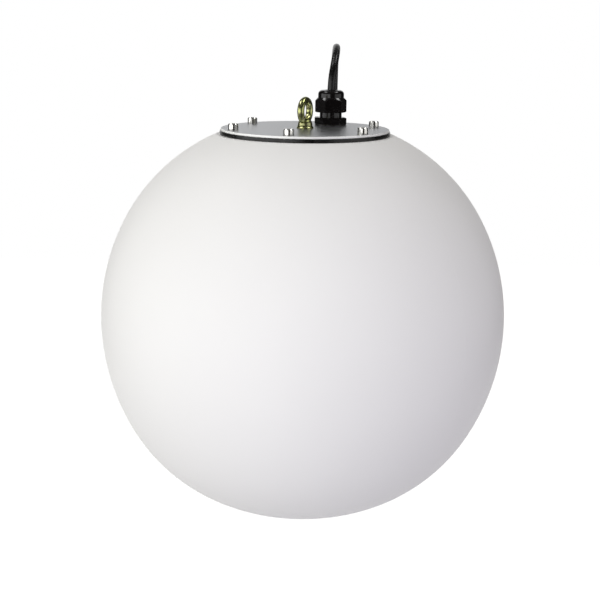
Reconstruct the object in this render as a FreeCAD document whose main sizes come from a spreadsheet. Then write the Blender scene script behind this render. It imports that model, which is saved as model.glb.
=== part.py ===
"""Hanging garden globe light.

A white rotomoulded globe hangs by the eye bolt of its round lid. The lid is a silver plate on
a black gasket, held by six socket cap screws in brass inserts moulded into the globe's rim.
Below the plate a stirrup carries a screw lampholder and its lamp. The mains lead enters through
a cable gland, arches back over the globe and hangs behind it in a tied coil with its plug.

Frame: millimetres, origin at the middle of the eye's hole, Z up, front towards -Y.
"""
import FreeCAD, Part
import math
import os
import re

import Sketcher

V = FreeCAD.Vector
doc = FreeCAD.newDocument("garden_globe_light")

# ---------------------------------------------------------------- driving sizes
SIZES = [
    ("globe_radius", 175, "outside radius at the middle, the pole and the sides"),
    ("upper_arc_extra", 8, "radius of the upper half's flatter arcs beyond the globe's"),
    ("lower_arc_extra", 15, "radius of the lower half's flatter arcs beyond the globe's"),
    ("arc_span", 30, "degrees that each flatter arc turns"),
    ("globe_wall", 3, "wall of the globe"),
    ("rim_shoulder", 3.133, "corner of the flat rim beyond the gasket"),
    ("rim_thickness", 5, "thickness of the flat rim"),
    ("rim_round", 2.5, "rounding between the rim and the globe"),
    ("rim_land", 1.3, "rim between the bosses and the opening"),
    ("boss_radius", 6.5, "boss round each insert"),
    ("boss_depth", 15, "depth of the bosses below the rim"),
    ("screw_edge", 8.7, "middle of a screw from the edge of the plate"),
    ("screw_count", 6, "screws round the plate"),
    ("screw_turn", -11.8, "degrees from the front to the first screw"),
    ("screw_radius", 2.5, "M5 thread"),
    ("screw_length", 16, "shank below the head"),
    ("screw_head_radius", 4.25, "knurled cap head"),
    ("screw_head_height", 5, "cap head"),
    ("screw_key", 4, "across the flats of the key socket"),
    ("screw_hole_play", 0.3, "round a screw in the plate and the gasket"),
    ("thread_play", 0.05, "between a thread and its nut"),
    ("insert_radius", 3.7, "outside of a brass insert"),
    ("insert_length", 10, "length of a brass insert"),
    ("plate_radius", 71, "round lid plate"),
    ("plate_thickness", 2, "lid plate"),
    ("plate_chamfer", 0.3, "broken edge of the plate"),
    ("gasket_proud", 0.7, "gasket beyond the edge of the plate"),
    ("gasket_thickness", 3, "pressed thickness of the gasket"),
    ("eye_rise", 14.5, "middle of the eye's hole above the plate"),
    ("eye_ring_radius", 8.7, "middle line of the eye's ring"),
    ("eye_section_radius", 3, "round section of the eye's ring"),
    ("eye_land_radius", 5.8, "trimmed land inside the eye"),
    ("eye_collar_radius", 7.1, "collar that sits on the plate"),
    ("eye_collar_height", 1.2, "collar that sits on the plate"),
    ("eye_neck_radius", 5.6, "top of the conical foot that carries the ring"),
    ("eye_turn", 65, "degrees from the X axis to the plane of the ring"),
    ("eye_shank_radius", 4, "M8 shank"),
    ("eye_shank_length", 15, "shank below the collar"),
    ("eye_nut_flats", 13, "M8 nut"),
    ("eye_nut_height", 8, "M8 nut with its locking ring"),
    ("eye_washer_radius", 8, "M8 washer"),
    ("eye_washer_thickness", 1.6, "M8 washer"),
    ("gland_way", 56.74, "degrees from the X axis to the gland, behind the eye"),
    ("gland_rim_gap", 1.84, "flat of the lock nut from the edge of the opening"),
    ("gland_flats", 24, "across the flats of the gland"),
    ("gland_thread_radius", 10, "M20 entry thread"),
    ("gland_thread_length", 11, "entry thread below the plate's top"),
    ("gland_washer_radius", 13.6, "sealing washer under the gland"),
    ("gland_washer_thickness", 1.2, "sealing washer under the gland"),
    ("gland_base_top", 6.8, "top of the gland's fixed hexagon above the plate"),
    ("gland_neck_radius", 9.6, "upper thread of the gland"),
    ("gland_neck_top", 20, "top of the upper thread above the plate"),
    ("gland_claw_top", 25, "top of the gland's fingers above the plate"),
    ("gland_claw_radius", 8.3, "fingers where they leave the thread"),
    ("gland_finger_count", 10, "slots between the gland's fingers"),
    ("gland_seat_radius", 7.2, "seat of the gland's rubber"),
    ("gland_seat_bottom", 8, "bottom of the rubber above the plate"),
    ("gland_bore_radius", 5.2, "bore of the gland's body"),
    ("gland_nut_bottom", 11.1, "bottom of the dome nut above the plate"),
    ("gland_hex_top", 21, "top of the dome nut's hexagon above the plate"),
    ("gland_shoulder_top", 23.8, "top of the dome nut's shoulder above the plate"),
    ("gland_dome_radius", 11.3, "round top of the dome nut"),
    ("gland_dome_top", 30, "top of the dome nut above the plate"),
    ("gland_dome_round", 3.6, "rounding of the dome nut's top"),
    ("gland_mouth_radius", 4.8, "mouth of the dome nut"),
    ("gland_nut_turn", 8, "degrees that the dome nut is turned"),
    ("gland_lock_flats", 24, "across the flats of the lock nut"),
    ("gland_lock_height", 5, "lock nut under the plate"),
    ("moving_gap", 0.3, "between the dome nut and what it turns past"),
    ("turning_play", 0.08, "between the dome nut and its thread"),
    ("cord_diameter", 6.6, "rubber mains lead"),
    ("sheath_tail", 9, "sheathed lead below the gland's thread"),
    ("core_spread", 1.37, "live and neutral cores from the axis of their passages"),
    ("core_drop", 8, "straight ends of the cores below the sheath"),
    ("core_loop_rise", 17, "loop of the live core above the stirrup's bar"),
    ("core_loop_step", 4, "loop of the neutral core above the live one's"),
    ("core_head_room", 2.2, "ends of the cores above the holder's core"),
    ("core_diameter", 2.4, "one insulated core"),
    ("stirrup_half_width", 20, "inside of the stirrup, from its middle"),
    ("stirrup_foot", 22, "length of each foot"),
    ("stirrup_drop", 50, "plate to the underside of the stirrup"),
    ("stirrup_width", 25, "width of the strip"),
    ("stirrup_strip", 2, "thickness of the strip"),
    ("stirrup_bend", 2, "inside of the strip's bends"),
    ("stud_radius", 2, "M4 weld studs under the plate"),
    ("stud_length", 9, "M4 weld studs under the plate"),
    ("stud_nut_flats", 7, "M4 nut"),
    ("stud_nut_height", 3.2, "M4 nut"),
    ("stud_flange_radius", 4.4, "flange of an M4 nut"),
    ("stud_flange_height", 0.8, "flange of an M4 nut"),
    ("lug_thickness", 0.8, "ring terminal of the earth core"),
    ("lug_tongue_length", 6, "tongue of the ring terminal"),
    ("lug_tongue_width", 3.4, "tongue of the ring terminal"),
    ("lug_barrel_length", 5, "crimped barrel of the ring terminal"),
    ("lug_barrel_wall", 0.6, "crimped barrel of the ring terminal"),
    ("nipple_radius", 5, "M10 hollow thread"),
    ("nipple_bore", 3.4, "bore of the hollow thread"),
    ("nipple_rise", 6, "hollow thread above the stirrup"),
    ("nipple_nut_flats", 14, "thin nuts of the hollow thread"),
    ("nipple_nut_height", 2.5, "thin nuts of the hollow thread"),
    ("holder_entry_radius", 8, "boss of the lampholder's cap"),
    ("holder_entry_height", 4, "boss of the lampholder's cap"),
    ("holder_cap_radius", 19, "lampholder's cap"),
    ("holder_cap_length", 27, "lampholder's cap"),
    ("holder_wall", 2, "wall of the lampholder"),
    ("holder_skirt_top", 20, "top of the skirt below the cap's top"),
    ("holder_skirt_length", 39, "skirt of the lampholder"),
    ("holder_ledge", 30, "ledge that carries the core, below the cap's top"),
    ("holder_core_height", 12, "ceramic core of the lampholder"),
    ("lamp_thread_radius", 13.2, "crest of the lamp's screw cap"),
    ("lamp_thread_depth", 0.9, "depth of the rolled thread"),
    ("lamp_thread_pitch", 3.6, "pitch of the rolled thread"),
    ("lamp_thread_count", 4, "turns of the rolled thread"),
    ("sleeve_wall", 0.7, "brass sleeve of the lampholder"),
    ("sleeve_length", 23, "brass sleeve of the lampholder"),
    ("sleeve_lip", 3, "inward lip of the sleeve under the core"),
    ("sleeve_ridge", 0.6, "rolled ridges inside the sleeve"),
    ("spring_strip", 0.5, "thickness of the contact spring"),
    ("spring_width", 6, "width of the contact spring"),
    ("spring_root", 8, "end of the contact spring from the middle"),
    ("spring_tongue", 2.5, "free end of the contact spring past the middle"),
    ("terminal_spread", 9, "each terminal from the middle"),
    ("terminal_width", 5, "brass terminal block"),
    ("terminal_depth", 7, "brass terminal block"),
    ("terminal_height", 4.5, "brass terminal block"),
    ("terminal_screw_radius", 2, "head of a terminal screw"),
    ("terminal_screw_height", 1.4, "head of a terminal screw"),
    ("terminal_screw_shift", 1.5, "terminal screw from the middle of its block"),
    ("lamp_seat_gap", 4.3, "core's underside to the tip of the lamp"),
    ("lamp_contact_radius", 4.8, "contact at the lamp's tip"),
    ("lamp_contact_height", 1.8, "contact at the lamp's tip"),
    ("lamp_cap_start", 5.6, "tip of the lamp to the edge of its screw cap"),
    ("lamp_groove", 10, "tip of the lamp to the first groove of its screw cap"),
    ("lamp_neck_start", 12, "tip of the lamp to the housing's neck inside the screw cap"),
    ("lamp_cap_length", 25, "tip of the lamp to the end of its screw cap"),
    ("lamp_radius", 30, "opal bulb of the lamp"),
    ("lamp_bulb_middle", 78, "tip of the lamp to the middle of its bulb"),
    ("lamp_joint", 66, "tip of the lamp to the edge of its housing"),
    ("lamp_wall", 1.2, "opal bulb"),
    ("lamp_housing_wall", 2, "lamp housing"),
    ("led_board_thickness", 1.6, "round board of the lamp"),
    ("led_count", 8, "chips on the round board"),
    ("led_circle", 17, "radius of the ring of chips"),
    ("led_side", 3, "one chip"),
    ("led_height", 0.8, "one chip"),
    ("driver_width", 20, "driver's circuit board"),
    ("driver_length", 34, "driver's circuit board"),
    ("driver_thickness", 1.6, "driver's circuit board"),
    ("capacitor_radius", 4, "round part on the driver's board"),
    ("coil_part_width", 11, "square part on the driver's board"),
    ("coil_part_length", 10, "square part on the driver's board"),
    ("driver_part_height", 7, "parts on the driver's board"),
    ("coil_left", 52, "start of the coil, to the left of the gland"),
    ("coil_back", 158, "start of the coil, behind the gland"),
    ("coil_drop", 218, "start of the coil, below the gland's mouth"),
    ("coil_outer_radius", 44, "middle line of the outer turn"),
    ("coil_pitch", 7.1, "between turns that lie side by side"),
    ("coil_turns", 4.25, "turns of the coil"),
    ("tie_width", 9, "strap round the coil"),
    ("tie_thickness", 1.2, "strap round the coil"),
    ("lead_end_length", 16, "straight lead between the coil and the plug"),
    ("plug_boot_length", 32, "tapered boot of the plug"),
    ("plug_boot_radius", 4.6, "boot where the lead enters"),
    ("plug_neck_radius", 9, "boot where it meets the plug"),
    ("plug_rib_count", 5, "ribs of the plug's boot"),
    ("plug_rib_depth", 0.8, "ribs of the plug's boot"),
    ("plug_radius", 18.5, "round body of the plug"),
    ("plug_length", 38, "body of the plug"),
    ("pin_radius", 2.4, "plug pins"),
    ("pin_length", 19, "plug pins"),
    ("pin_spread", 9.5, "each pin from the plug's middle"),
    ("pin_tip_round", 2, "rounded end of a pin"),
    ("earth_socket_radius", 2.5, "earth socket in the plug's face"),
    ("earth_socket_depth", 14, "earth socket in the plug's face"),
    ("earth_socket_shift", 10, "earth socket from the plug's middle"),
    ("clip_width", 5, "earth clips of the plug"),
    ("clip_length", 21, "earth clips of the plug"),
    ("clip_recess", 3, "recess of an earth clip in the plug's side"),
    ("clip_thickness", 0.8, "earth clips of the plug"),
]
sheet = doc.addObject("Spreadsheet::Sheet", "Sizes")
for row, (alias, number, note) in enumerate(SIZES, 1):
    sheet.set(f"A{row}", alias)
    sheet.set(f"B{row}", str(number))
    sheet.set(f"C{row}", note)
    sheet.setAlias(f"B{row}", alias)
doc.recompute()

# heights and distances that follow from the driving sizes
DERIVED = {
    "plate_top": "-eye_rise",
    "plate_under": "(plate_top - plate_thickness)",
    "rim_top": "(plate_under - gasket_thickness)",
    "screw_circle": "(plate_radius - screw_edge)",
    "opening_radius": "(screw_circle - boss_radius - rim_land)",
    "gland_reach": "(opening_radius - gland_lock_flats / 2 - gland_rim_gap)",
    "gland_x": "(gland_reach * cos(gland_way))",
    "gland_y": "(gland_reach * sin(gland_way))",
    "gland_lock_turn": "(gland_way - 30)",
    "rim_rise": "(globe_radius - upper_arc_radius"
                " + sqrt(upper_arc_radius^2 - (gasket_radius + rim_shoulder)^2))",
    "globe_middle": "(rim_top - rim_rise)",
    "upper_arc_radius": "(globe_radius + upper_arc_extra)",
    "lower_arc_radius": "(globe_radius + lower_arc_extra)",
    "upper_corner_radius": "(upper_arc_radius - (upper_arc_radius - globe_radius)"
                           " / (cos(arc_span) - sin(arc_span)))",
    "lower_corner_radius": "(lower_arc_radius - (lower_arc_radius - globe_radius)"
                           " / (cos(arc_span) - sin(arc_span)))",
    "gasket_radius": "(plate_radius + gasket_proud)",
    "screw_hole": "(screw_radius + screw_hole_play)",
    "stirrup_under": "(plate_under - stirrup_drop)",
    "stud_x": "(stirrup_half_width + stirrup_strip + stirrup_foot / 2)",
    "holder_top": "(stirrup_under - nipple_nut_height)",
    "skirt_bore": "(sleeve_radius + 0.2)",
    "sleeve_bore": "(lamp_thread_radius + moving_gap)",
    "sleeve_radius": "(sleeve_bore + sleeve_wall)",
    "core_under": "(holder_top - holder_ledge)",
    "lamp_tip": "(core_under - lamp_seat_gap)",
    "lamp_root_radius": "(lamp_thread_radius - lamp_thread_depth)",
    "lamp_neck_radius": "(lamp_root_radius - 0.8)",
    "lamp_housing_radius": "(lamp_radius - 0.6)",
    "board_back": "(lamp_joint - led_board_thickness)",
    "mouth_z": "(plate_top + gland_dome_top)",
    "sheath_end": "(plate_top - gland_thread_length - sheath_tail)",
    "lug_barrel_x": "(stud_flange_radius + lug_tongue_length - 1.5)",
    "lug_barrel_z": "(plate_under - lug_thickness - core_diameter / 2 + 0.1)",
    "coil_x": "(gland_x - coil_left)",
    "coil_y": "(gland_y + coil_back)",
    "coil_top": "(mouth_z - coil_drop)",
    "coil_middle": "(coil_top - coil_outer_radius)",
    "plug_x": "(coil_x - coil_outer_radius)",
    "plug_y": "(coil_y + coil_pitch)",
    "plug_top": "(coil_middle - lead_end_length)",
}
WORDS = set(DERIVED) | {alias for alias, _, _ in SIZES}


def bind(text):
    """The expression with every named size read from the sheet."""
    def word(match):
        name = match.group(0)
        if name in DERIVED:
            return bind(DERIVED[name])
        return f"Sizes.{name}" if name in WORDS else name
    return re.sub(r"[a-z_]+[a-z0-9_]*", word, str(text))


def size(text):
    """The number that an expression gives now."""
    return float(sheet.evalExpression(bind(text)))


# ---------------------------------------------------------------- drawing helpers
def new_body(label, x="0", y="0", z="0", turn="0"):
    """A body of its own, placed and turned about Z by expressions."""
    body = doc.addObject("PartDesign::Body", label)
    body.Label = label
    body.Placement = FreeCAD.Placement(V(), FreeCAD.Rotation(V(0, 0, 1), 1))
    body.setExpression("Placement.Rotation.Angle", bind(turn))
    for axis, text in zip("xyz", (x, y, z)):
        body.setExpression(f"Placement.Base.{axis}", bind(text))
    return body


def origin(body, role):
    """One of the body's own planes or axes."""
    return next(part for part in body.Origin.OriginFeatures if part.Role == role)


def new_sketch(body, plane="XZ_Plane", lift="0", shift="0"):
    """A sketch on a plane of the body, lifted off it and shifted along its X."""
    sketch = body.newObject("Sketcher::SketchObject", body.Label + "_sketch")
    sketch.AttachmentSupport = [(origin(body, plane), "")]
    sketch.MapMode = "FlatFace"
    sketch.setExpression("AttachmentOffset.Base.z", bind(lift))
    sketch.setExpression("AttachmentOffset.Base.x", bind(shift))
    return sketch


def hold(sketch, kind, *target):
    """A dimension of the sketch that follows an expression."""
    *where, text = target
    index = sketch.addConstraint(Sketcher.Constraint(kind, *where, size(text)))
    sketch.setExpression(f"Constraints[{index}]", bind(text))


def draw_outline(sketch, points):
    """A closed outline. A point is (across, up), or (across, up, radius, side) where an arc
    runs to the next point: side 1 turns left along the way and -1 turns right."""
    spots = [V(size(point[0]), size(point[1]), 0) for point in points]
    sides = []
    for index, point in enumerate(points):
        start, end = spots[index], spots[(index + 1) % len(points)]
        if len(point) == 2:
            side = sketch.addGeometry(Part.LineSegment(start, end), False)
            sides.append((side, 1, 2))
            continue
        radius, way = size(point[2]), point[3]
        chord = end - start
        left = V(-chord.y, chord.x, 0).normalize()
        reach = math.sqrt(max(radius ** 2 - (chord.Length / 2) ** 2, 0))
        centre = (start + end) * 0.5 + left * reach * way
        first, last = (start, end) if way > 0 else (end, start)
        angles = [math.atan2(spot.y - centre.y, spot.x - centre.x) for spot in (first, last)]
        if angles[1] < angles[0]:
            angles[1] += 2 * math.pi
        circle = Part.Circle(centre, V(0, 0, 1), radius)
        side = sketch.addGeometry(Part.ArcOfCircle(circle, *angles), False)
        sides.append((side, 1, 2) if way > 0 else (side, 2, 1))
        hold(sketch, "Radius", side, point[2])
    for index, (side, _, end) in enumerate(sides):
        following, start, _ = sides[(index + 1) % len(sides)]
        sketch.addConstraint(Sketcher.Constraint("Coincident", side, end, following, start))
    for (side, start, _), point in zip(sides, points):
        hold(sketch, "DistanceX", side, start, point[0])
        hold(sketch, "DistanceY", side, start, point[1])


def draw_circle(sketch, radius, x="0", y="0"):
    """A circle placed by expressions."""
    circle = Part.Circle(V(size(x), size(y), 0), V(0, 0, 1), size(radius))
    side = sketch.addGeometry(circle, False)
    hold(sketch, "Radius", side, radius)
    hold(sketch, "DistanceX", side, 3, x)
    hold(sketch, "DistanceY", side, 3, y)


def draw_hexagon(sketch, flats):
    """A hexagon round the sketch's origin, with two corners on its X axis."""
    corner = f"({flats}) / 2 / cos(30)"
    draw_outline(sketch, [(f"{corner} * cos({60 * k})", f"{corner} * sin({60 * k})")
                          for k in range(6)])


def draw_rectangle(sketch, x, y, width, depth):
    """A rectangle by its middle, its width and its depth."""
    draw_outline(sketch, [(f"{x} - ({width}) / 2", f"{y} - ({depth}) / 2"),
                          (f"{x} + ({width}) / 2", f"{y} - ({depth}) / 2"),
                          (f"{x} + ({width}) / 2", f"{y} + ({depth}) / 2"),
                          (f"{x} - ({width}) / 2", f"{y} + ({depth}) / 2")])


def revolve(body, points, shift="0", cut=False):
    """The outline turned about its own vertical axis."""
    sketch = new_sketch(body, shift=shift)
    draw_outline(sketch, points)
    kind = "PartDesign::Groove" if cut else "PartDesign::Revolution"
    feature = body.newObject(kind, body.Label + ("_groove" if cut else "_turned"))
    feature.Profile = sketch
    feature.ReferenceAxis = (sketch, ["V_Axis"])
    feature.Angle = 360
    return feature


def extrude(body, sketch, length, cut=False, down=False, middle=False):
    """A pad or a pocket of a stated length; down is against the plane's normal."""
    kind = "PartDesign::Pocket" if cut else "PartDesign::Pad"
    feature = body.newObject(kind, body.Label + ("_pocket" if cut else "_pad"))
    feature.Profile = sketch
    feature.setExpression("Length", bind(length))
    if middle:
        feature.SideType = "Symmetric"
    else:
        feature.Reversed = (not down) if cut else down
    return feature


def ring_pattern(body, features, count):
    """The features repeated round the body's Z axis."""
    pattern = body.newObject("PartDesign::PolarPattern", body.Label + "_ring")
    pattern.Originals = features
    pattern.Axis = (origin(body, "Z_Axis"), [""])
    pattern.Angle = 360
    pattern.setExpression("Occurrences", bind(count))
    body.Tip = pattern
    return pattern


def stack_pattern(body, features, count, pitch):
    """The features repeated down the body's Z axis."""
    pattern = body.newObject("PartDesign::LinearPattern", body.Label + "_stack")
    pattern.Originals = features
    pattern.Direction = (origin(body, "Z_Axis"), [""])
    pattern.Reversed = True
    pattern.setExpression("Length", bind(f"({pitch}) * (({count}) - 1)"))
    pattern.setExpression("Occurrences", bind(count))
    body.Tip = pattern
    return pattern


def trim_to_hexagon(body, flats, corner, bottom, height):
    """Flats cut round the body, from bottom up by height; corner is outside its corners."""
    sketch = new_sketch(body, "XY_Plane", lift=bottom)
    draw_hexagon(sketch, flats)
    draw_circle(sketch, corner)
    return extrude(body, sketch, height, cut=True)


def disc(label, radius, hole, bottom, thickness, x="0", y="0"):
    """A flat ring between bottom and bottom + thickness."""
    body = new_body(label, x, y)
    sketch = new_sketch(body, "XY_Plane", lift=bottom)
    draw_circle(sketch, radius)
    draw_circle(sketch, hole)
    extrude(body, sketch, thickness)
    return body


def hex_nut(body, flats, bore, bottom, height, shift="0"):
    """A nut with its corners broken at both ends, round the axis at shift."""
    corner = f"({flats}) / 2 / cos(30)"
    drop = f"({corner} - ({flats}) / 2)"
    nut = [(bore, bottom),
           (f"({flats}) / 2", bottom),
           (corner, f"{bottom} + {drop} / 2"),
           (corner, f"{bottom} + {height} - {drop} / 2"),
           (f"({flats}) / 2", f"{bottom} + {height}"),
           (bore, f"{bottom} + {height}")]
    turned = revolve(body, nut, shift=shift)
    sketch = new_sketch(body, "XY_Plane", lift=bottom, shift=shift)
    draw_hexagon(sketch, flats)
    draw_circle(sketch, f"{corner} + 1")
    return [turned, extrude(body, sketch, height, cut=True)]


# ---------------------------------------------------------------- the globe
def build_globe():
    """Rotomoulded polyethylene: each quarter of its outline is a flatter arc, a rounder
    corner arc and a flatter arc, tangent to each other, and a flat rim closes the top."""
    body = new_body("globe_shell", z="globe_middle")

    def far(arc, wall):
        return f"(globe_radius - {arc} + ({arc} - {wall}) * cos(arc_span))"

    def near(arc, wall):
        return f"(({arc} - {wall}) * sin(arc_span))"

    def rim(wall, height):
        return (f"sqrt((upper_arc_radius - {wall})^2"
                f" - ({height} - globe_radius + upper_arc_radius)^2)")

    up, low = "upper_arc_radius", "lower_arc_radius"
    wall, under = "globe_wall", "(rim_rise - rim_thickness)"
    globe = revolve(body, [
        ("opening_radius", "rim_rise"),
        (rim("0", "rim_rise"), "rim_rise", up, -1),
        (near(up, "0"), far(up, "0"), "upper_corner_radius", -1),
        (far(up, "0"), near(up, "0"), up, -1),
        ("globe_radius", "0", low, -1),
        (far(low, "0"), "-" + near(low, "0"), "lower_corner_radius", -1),
        (near(low, "0"), "-" + far(low, "0"), low, -1),
        ("0", "-globe_radius"),
        ("0", "globe_wall - globe_radius", f"{low} - {wall}", 1),
        (near(low, wall), "-" + far(low, wall), f"lower_corner_radius - {wall}", 1),
        (far(low, wall), "-" + near(low, wall), f"{low} - {wall}", 1),
        ("globe_radius - globe_wall", "0", f"{up} - {wall}", 1),
        (far(up, wall), near(up, wall), f"upper_corner_radius - {wall}", 1),
        (near(up, wall), far(up, wall), f"{up} - {wall}", 1),
        (rim(wall, under), under),
        ("opening_radius", under),
    ])
    doc.recompute()
    edge = size(rim("0", "rim_rise"))
    rounding = body.newObject("PartDesign::Fillet", "globe_rim_rounding")
    rounding.Base = (globe, [f"Edge{index}" for index, side in enumerate(globe.Shape.Edges, 1)
                             if not side.Degenerated and side.BoundBox.ZLength < 0.01
                             and abs(side.BoundBox.XMax - edge) < 0.01])
    rounding.setExpression("Radius", bind("rim_round"))

    turned = "screw_turn - 90"
    place = (f"screw_circle * cos({turned})", f"screw_circle * sin({turned})")
    sketch = new_sketch(body, "XY_Plane", lift="rim_rise - boss_depth")
    draw_circle(sketch, "boss_radius", *place)
    boss = extrude(body, sketch, "boss_depth - rim_thickness / 2")
    ring_pattern(body, [boss], "screw_count")
    sketch = new_sketch(body, "XY_Plane", lift="rim_rise")
    draw_circle(sketch, "insert_radius", *place)
    hole = extrude(body, sketch, "insert_length", cut=True, down=True)
    ring_pattern(body, [hole], "screw_count")
    sketch = new_sketch(body, "XY_Plane", lift="rim_rise - insert_length")
    draw_circle(sketch, "screw_hole", *place)
    tip_room = extrude(body, sketch, "boss_depth - insert_length - globe_wall / 2",
                       cut=True, down=True)
    ring_pattern(body, [tip_room], "screw_count")


def build_inserts():
    """Brass inserts moulded into the rim, with a waist that the plastic grips."""
    body = new_body("rim_inserts", z="rim_top", turn="screw_turn - 90")
    insert = revolve(body, [
        ("screw_radius + thread_play", "0"),
        ("insert_radius", "0"),
        ("insert_radius", "-insert_length * 0.35"),
        ("insert_radius - 0.5", "-insert_length * 0.42"),
        ("insert_radius - 0.5", "-insert_length * 0.58"),
        ("insert_radius", "-insert_length * 0.65"),
        ("insert_radius", "-insert_length"),
        ("screw_radius + thread_play", "-insert_length"),
    ], shift="screw_circle")
    ring_pattern(body, [insert], "screw_count")


# ---------------------------------------------------------------- the lid
def build_gasket():
    """Black sponge rubber ring, pressed between the plate and the rim."""
    body = disc("plate_gasket", "gasket_radius", "opening_radius", "rim_top",
                "gasket_thickness")
    sketch = new_sketch(body, "XY_Plane", lift="plate_under")
    turned = "screw_turn - 90"
    draw_circle(sketch, "screw_hole", f"screw_circle * cos({turned})",
                f"screw_circle * sin({turned})")
    hole = extrude(body, sketch, "gasket_thickness", cut=True, down=True)
    ring_pattern(body, [hole], "screw_count")


def build_plate():
    """Round aluminium plate with holes for its six screws, the eye bolt and the gland."""
    body = new_body("top_plate")
    revolve(body, [
        ("0", "plate_under"),
        ("plate_radius - plate_chamfer", "plate_under"),
        ("plate_radius", "plate_under + plate_chamfer"),
        ("plate_radius", "plate_top - plate_chamfer"),
        ("plate_radius - plate_chamfer", "plate_top"),
        ("0", "plate_top"),
    ])
    sketch = new_sketch(body, "XY_Plane", lift="plate_top")
    draw_circle(sketch, "eye_shank_radius + screw_hole_play")
    draw_circle(sketch, "gland_thread_radius + screw_hole_play", "gland_x", "gland_y")
    extrude(body, sketch, "plate_thickness", cut=True, down=True)
    sketch = new_sketch(body, "XY_Plane", lift="plate_top")
    turned = "screw_turn - 90"
    draw_circle(sketch, "screw_hole", f"screw_circle * cos({turned})",
                f"screw_circle * sin({turned})")
    hole = extrude(body, sketch, "plate_thickness", cut=True, down=True)
    ring_pattern(body, [hole], "screw_count")


def build_screws():
    """Six stainless socket cap screws."""
    body = new_body("plate_screws", z="plate_top", turn="screw_turn - 90")
    screw = revolve(body, [
        ("0", "-screw_length"),
        ("screw_radius * 0.7", "-screw_length"),
        ("screw_radius", "screw_radius * 0.3 - screw_length"),
        ("screw_radius", "0"),
        ("screw_head_radius", "0"),
        ("screw_head_radius", "screw_head_height * 0.88"),
        ("screw_head_radius - screw_head_height * 0.12", "screw_head_height"),
        ("0", "screw_head_height"),
    ], shift="screw_circle")
    sketch = new_sketch(body, "XY_Plane", lift="screw_head_height", shift="screw_circle")
    draw_hexagon(sketch, "screw_key")
    key = extrude(body, sketch, "screw_head_height / 2", cut=True, down=True)
    ring_pattern(body, [screw, key], "screw_count")


# ---------------------------------------------------------------- the eye bolt
def build_eye():
    """Forged eye on a conical foot, with its washer and locking nut under the plate."""
    body = new_body("eye_bolt", turn="eye_turn")
    neck_top = "(eye_section_radius * 0.6 - eye_ring_radius)"
    collar_top = "(plate_top + eye_collar_height)"
    revolve(body, [
        ("0", "plate_top - eye_shank_length"),
        ("eye_shank_radius - 0.8", "plate_top - eye_shank_length"),
        ("eye_shank_radius", "plate_top - eye_shank_length + 0.8"),
        ("eye_shank_radius", "plate_top"),
        ("eye_collar_radius", "plate_top"),
        ("eye_collar_radius", f"{collar_top} - 0.5"),
        ("eye_collar_radius - 0.5", collar_top),
        ("eye_neck_radius", f"{neck_top} - eye_section_radius / 2"),
        ("eye_neck_radius - eye_section_radius / 2", neck_top),
        ("0", neck_top),
    ])
    ring = new_sketch(body, "XY_Plane")
    draw_circle(ring, "eye_section_radius", "eye_ring_radius")
    turned = body.newObject("PartDesign::Revolution", "eye_ring")
    turned.Profile = ring
    turned.ReferenceAxis = (ring, ["V_Axis"])
    turned.Angle = 360
    land = new_sketch(body, "XZ_Plane")
    draw_circle(land, "eye_land_radius")
    extrude(body, land, "eye_section_radius * 3", cut=True, middle=True)

    disc("eye_washer", "eye_washer_radius", "eye_shank_radius + screw_hole_play",
         "plate_under - eye_washer_thickness", "eye_washer_thickness")
    nut = new_body("eye_nut")
    hex_nut(nut, "eye_nut_flats", "eye_shank_radius + thread_play",
            "(plate_under - eye_washer_thickness - eye_nut_height)", "eye_nut_height")


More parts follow.
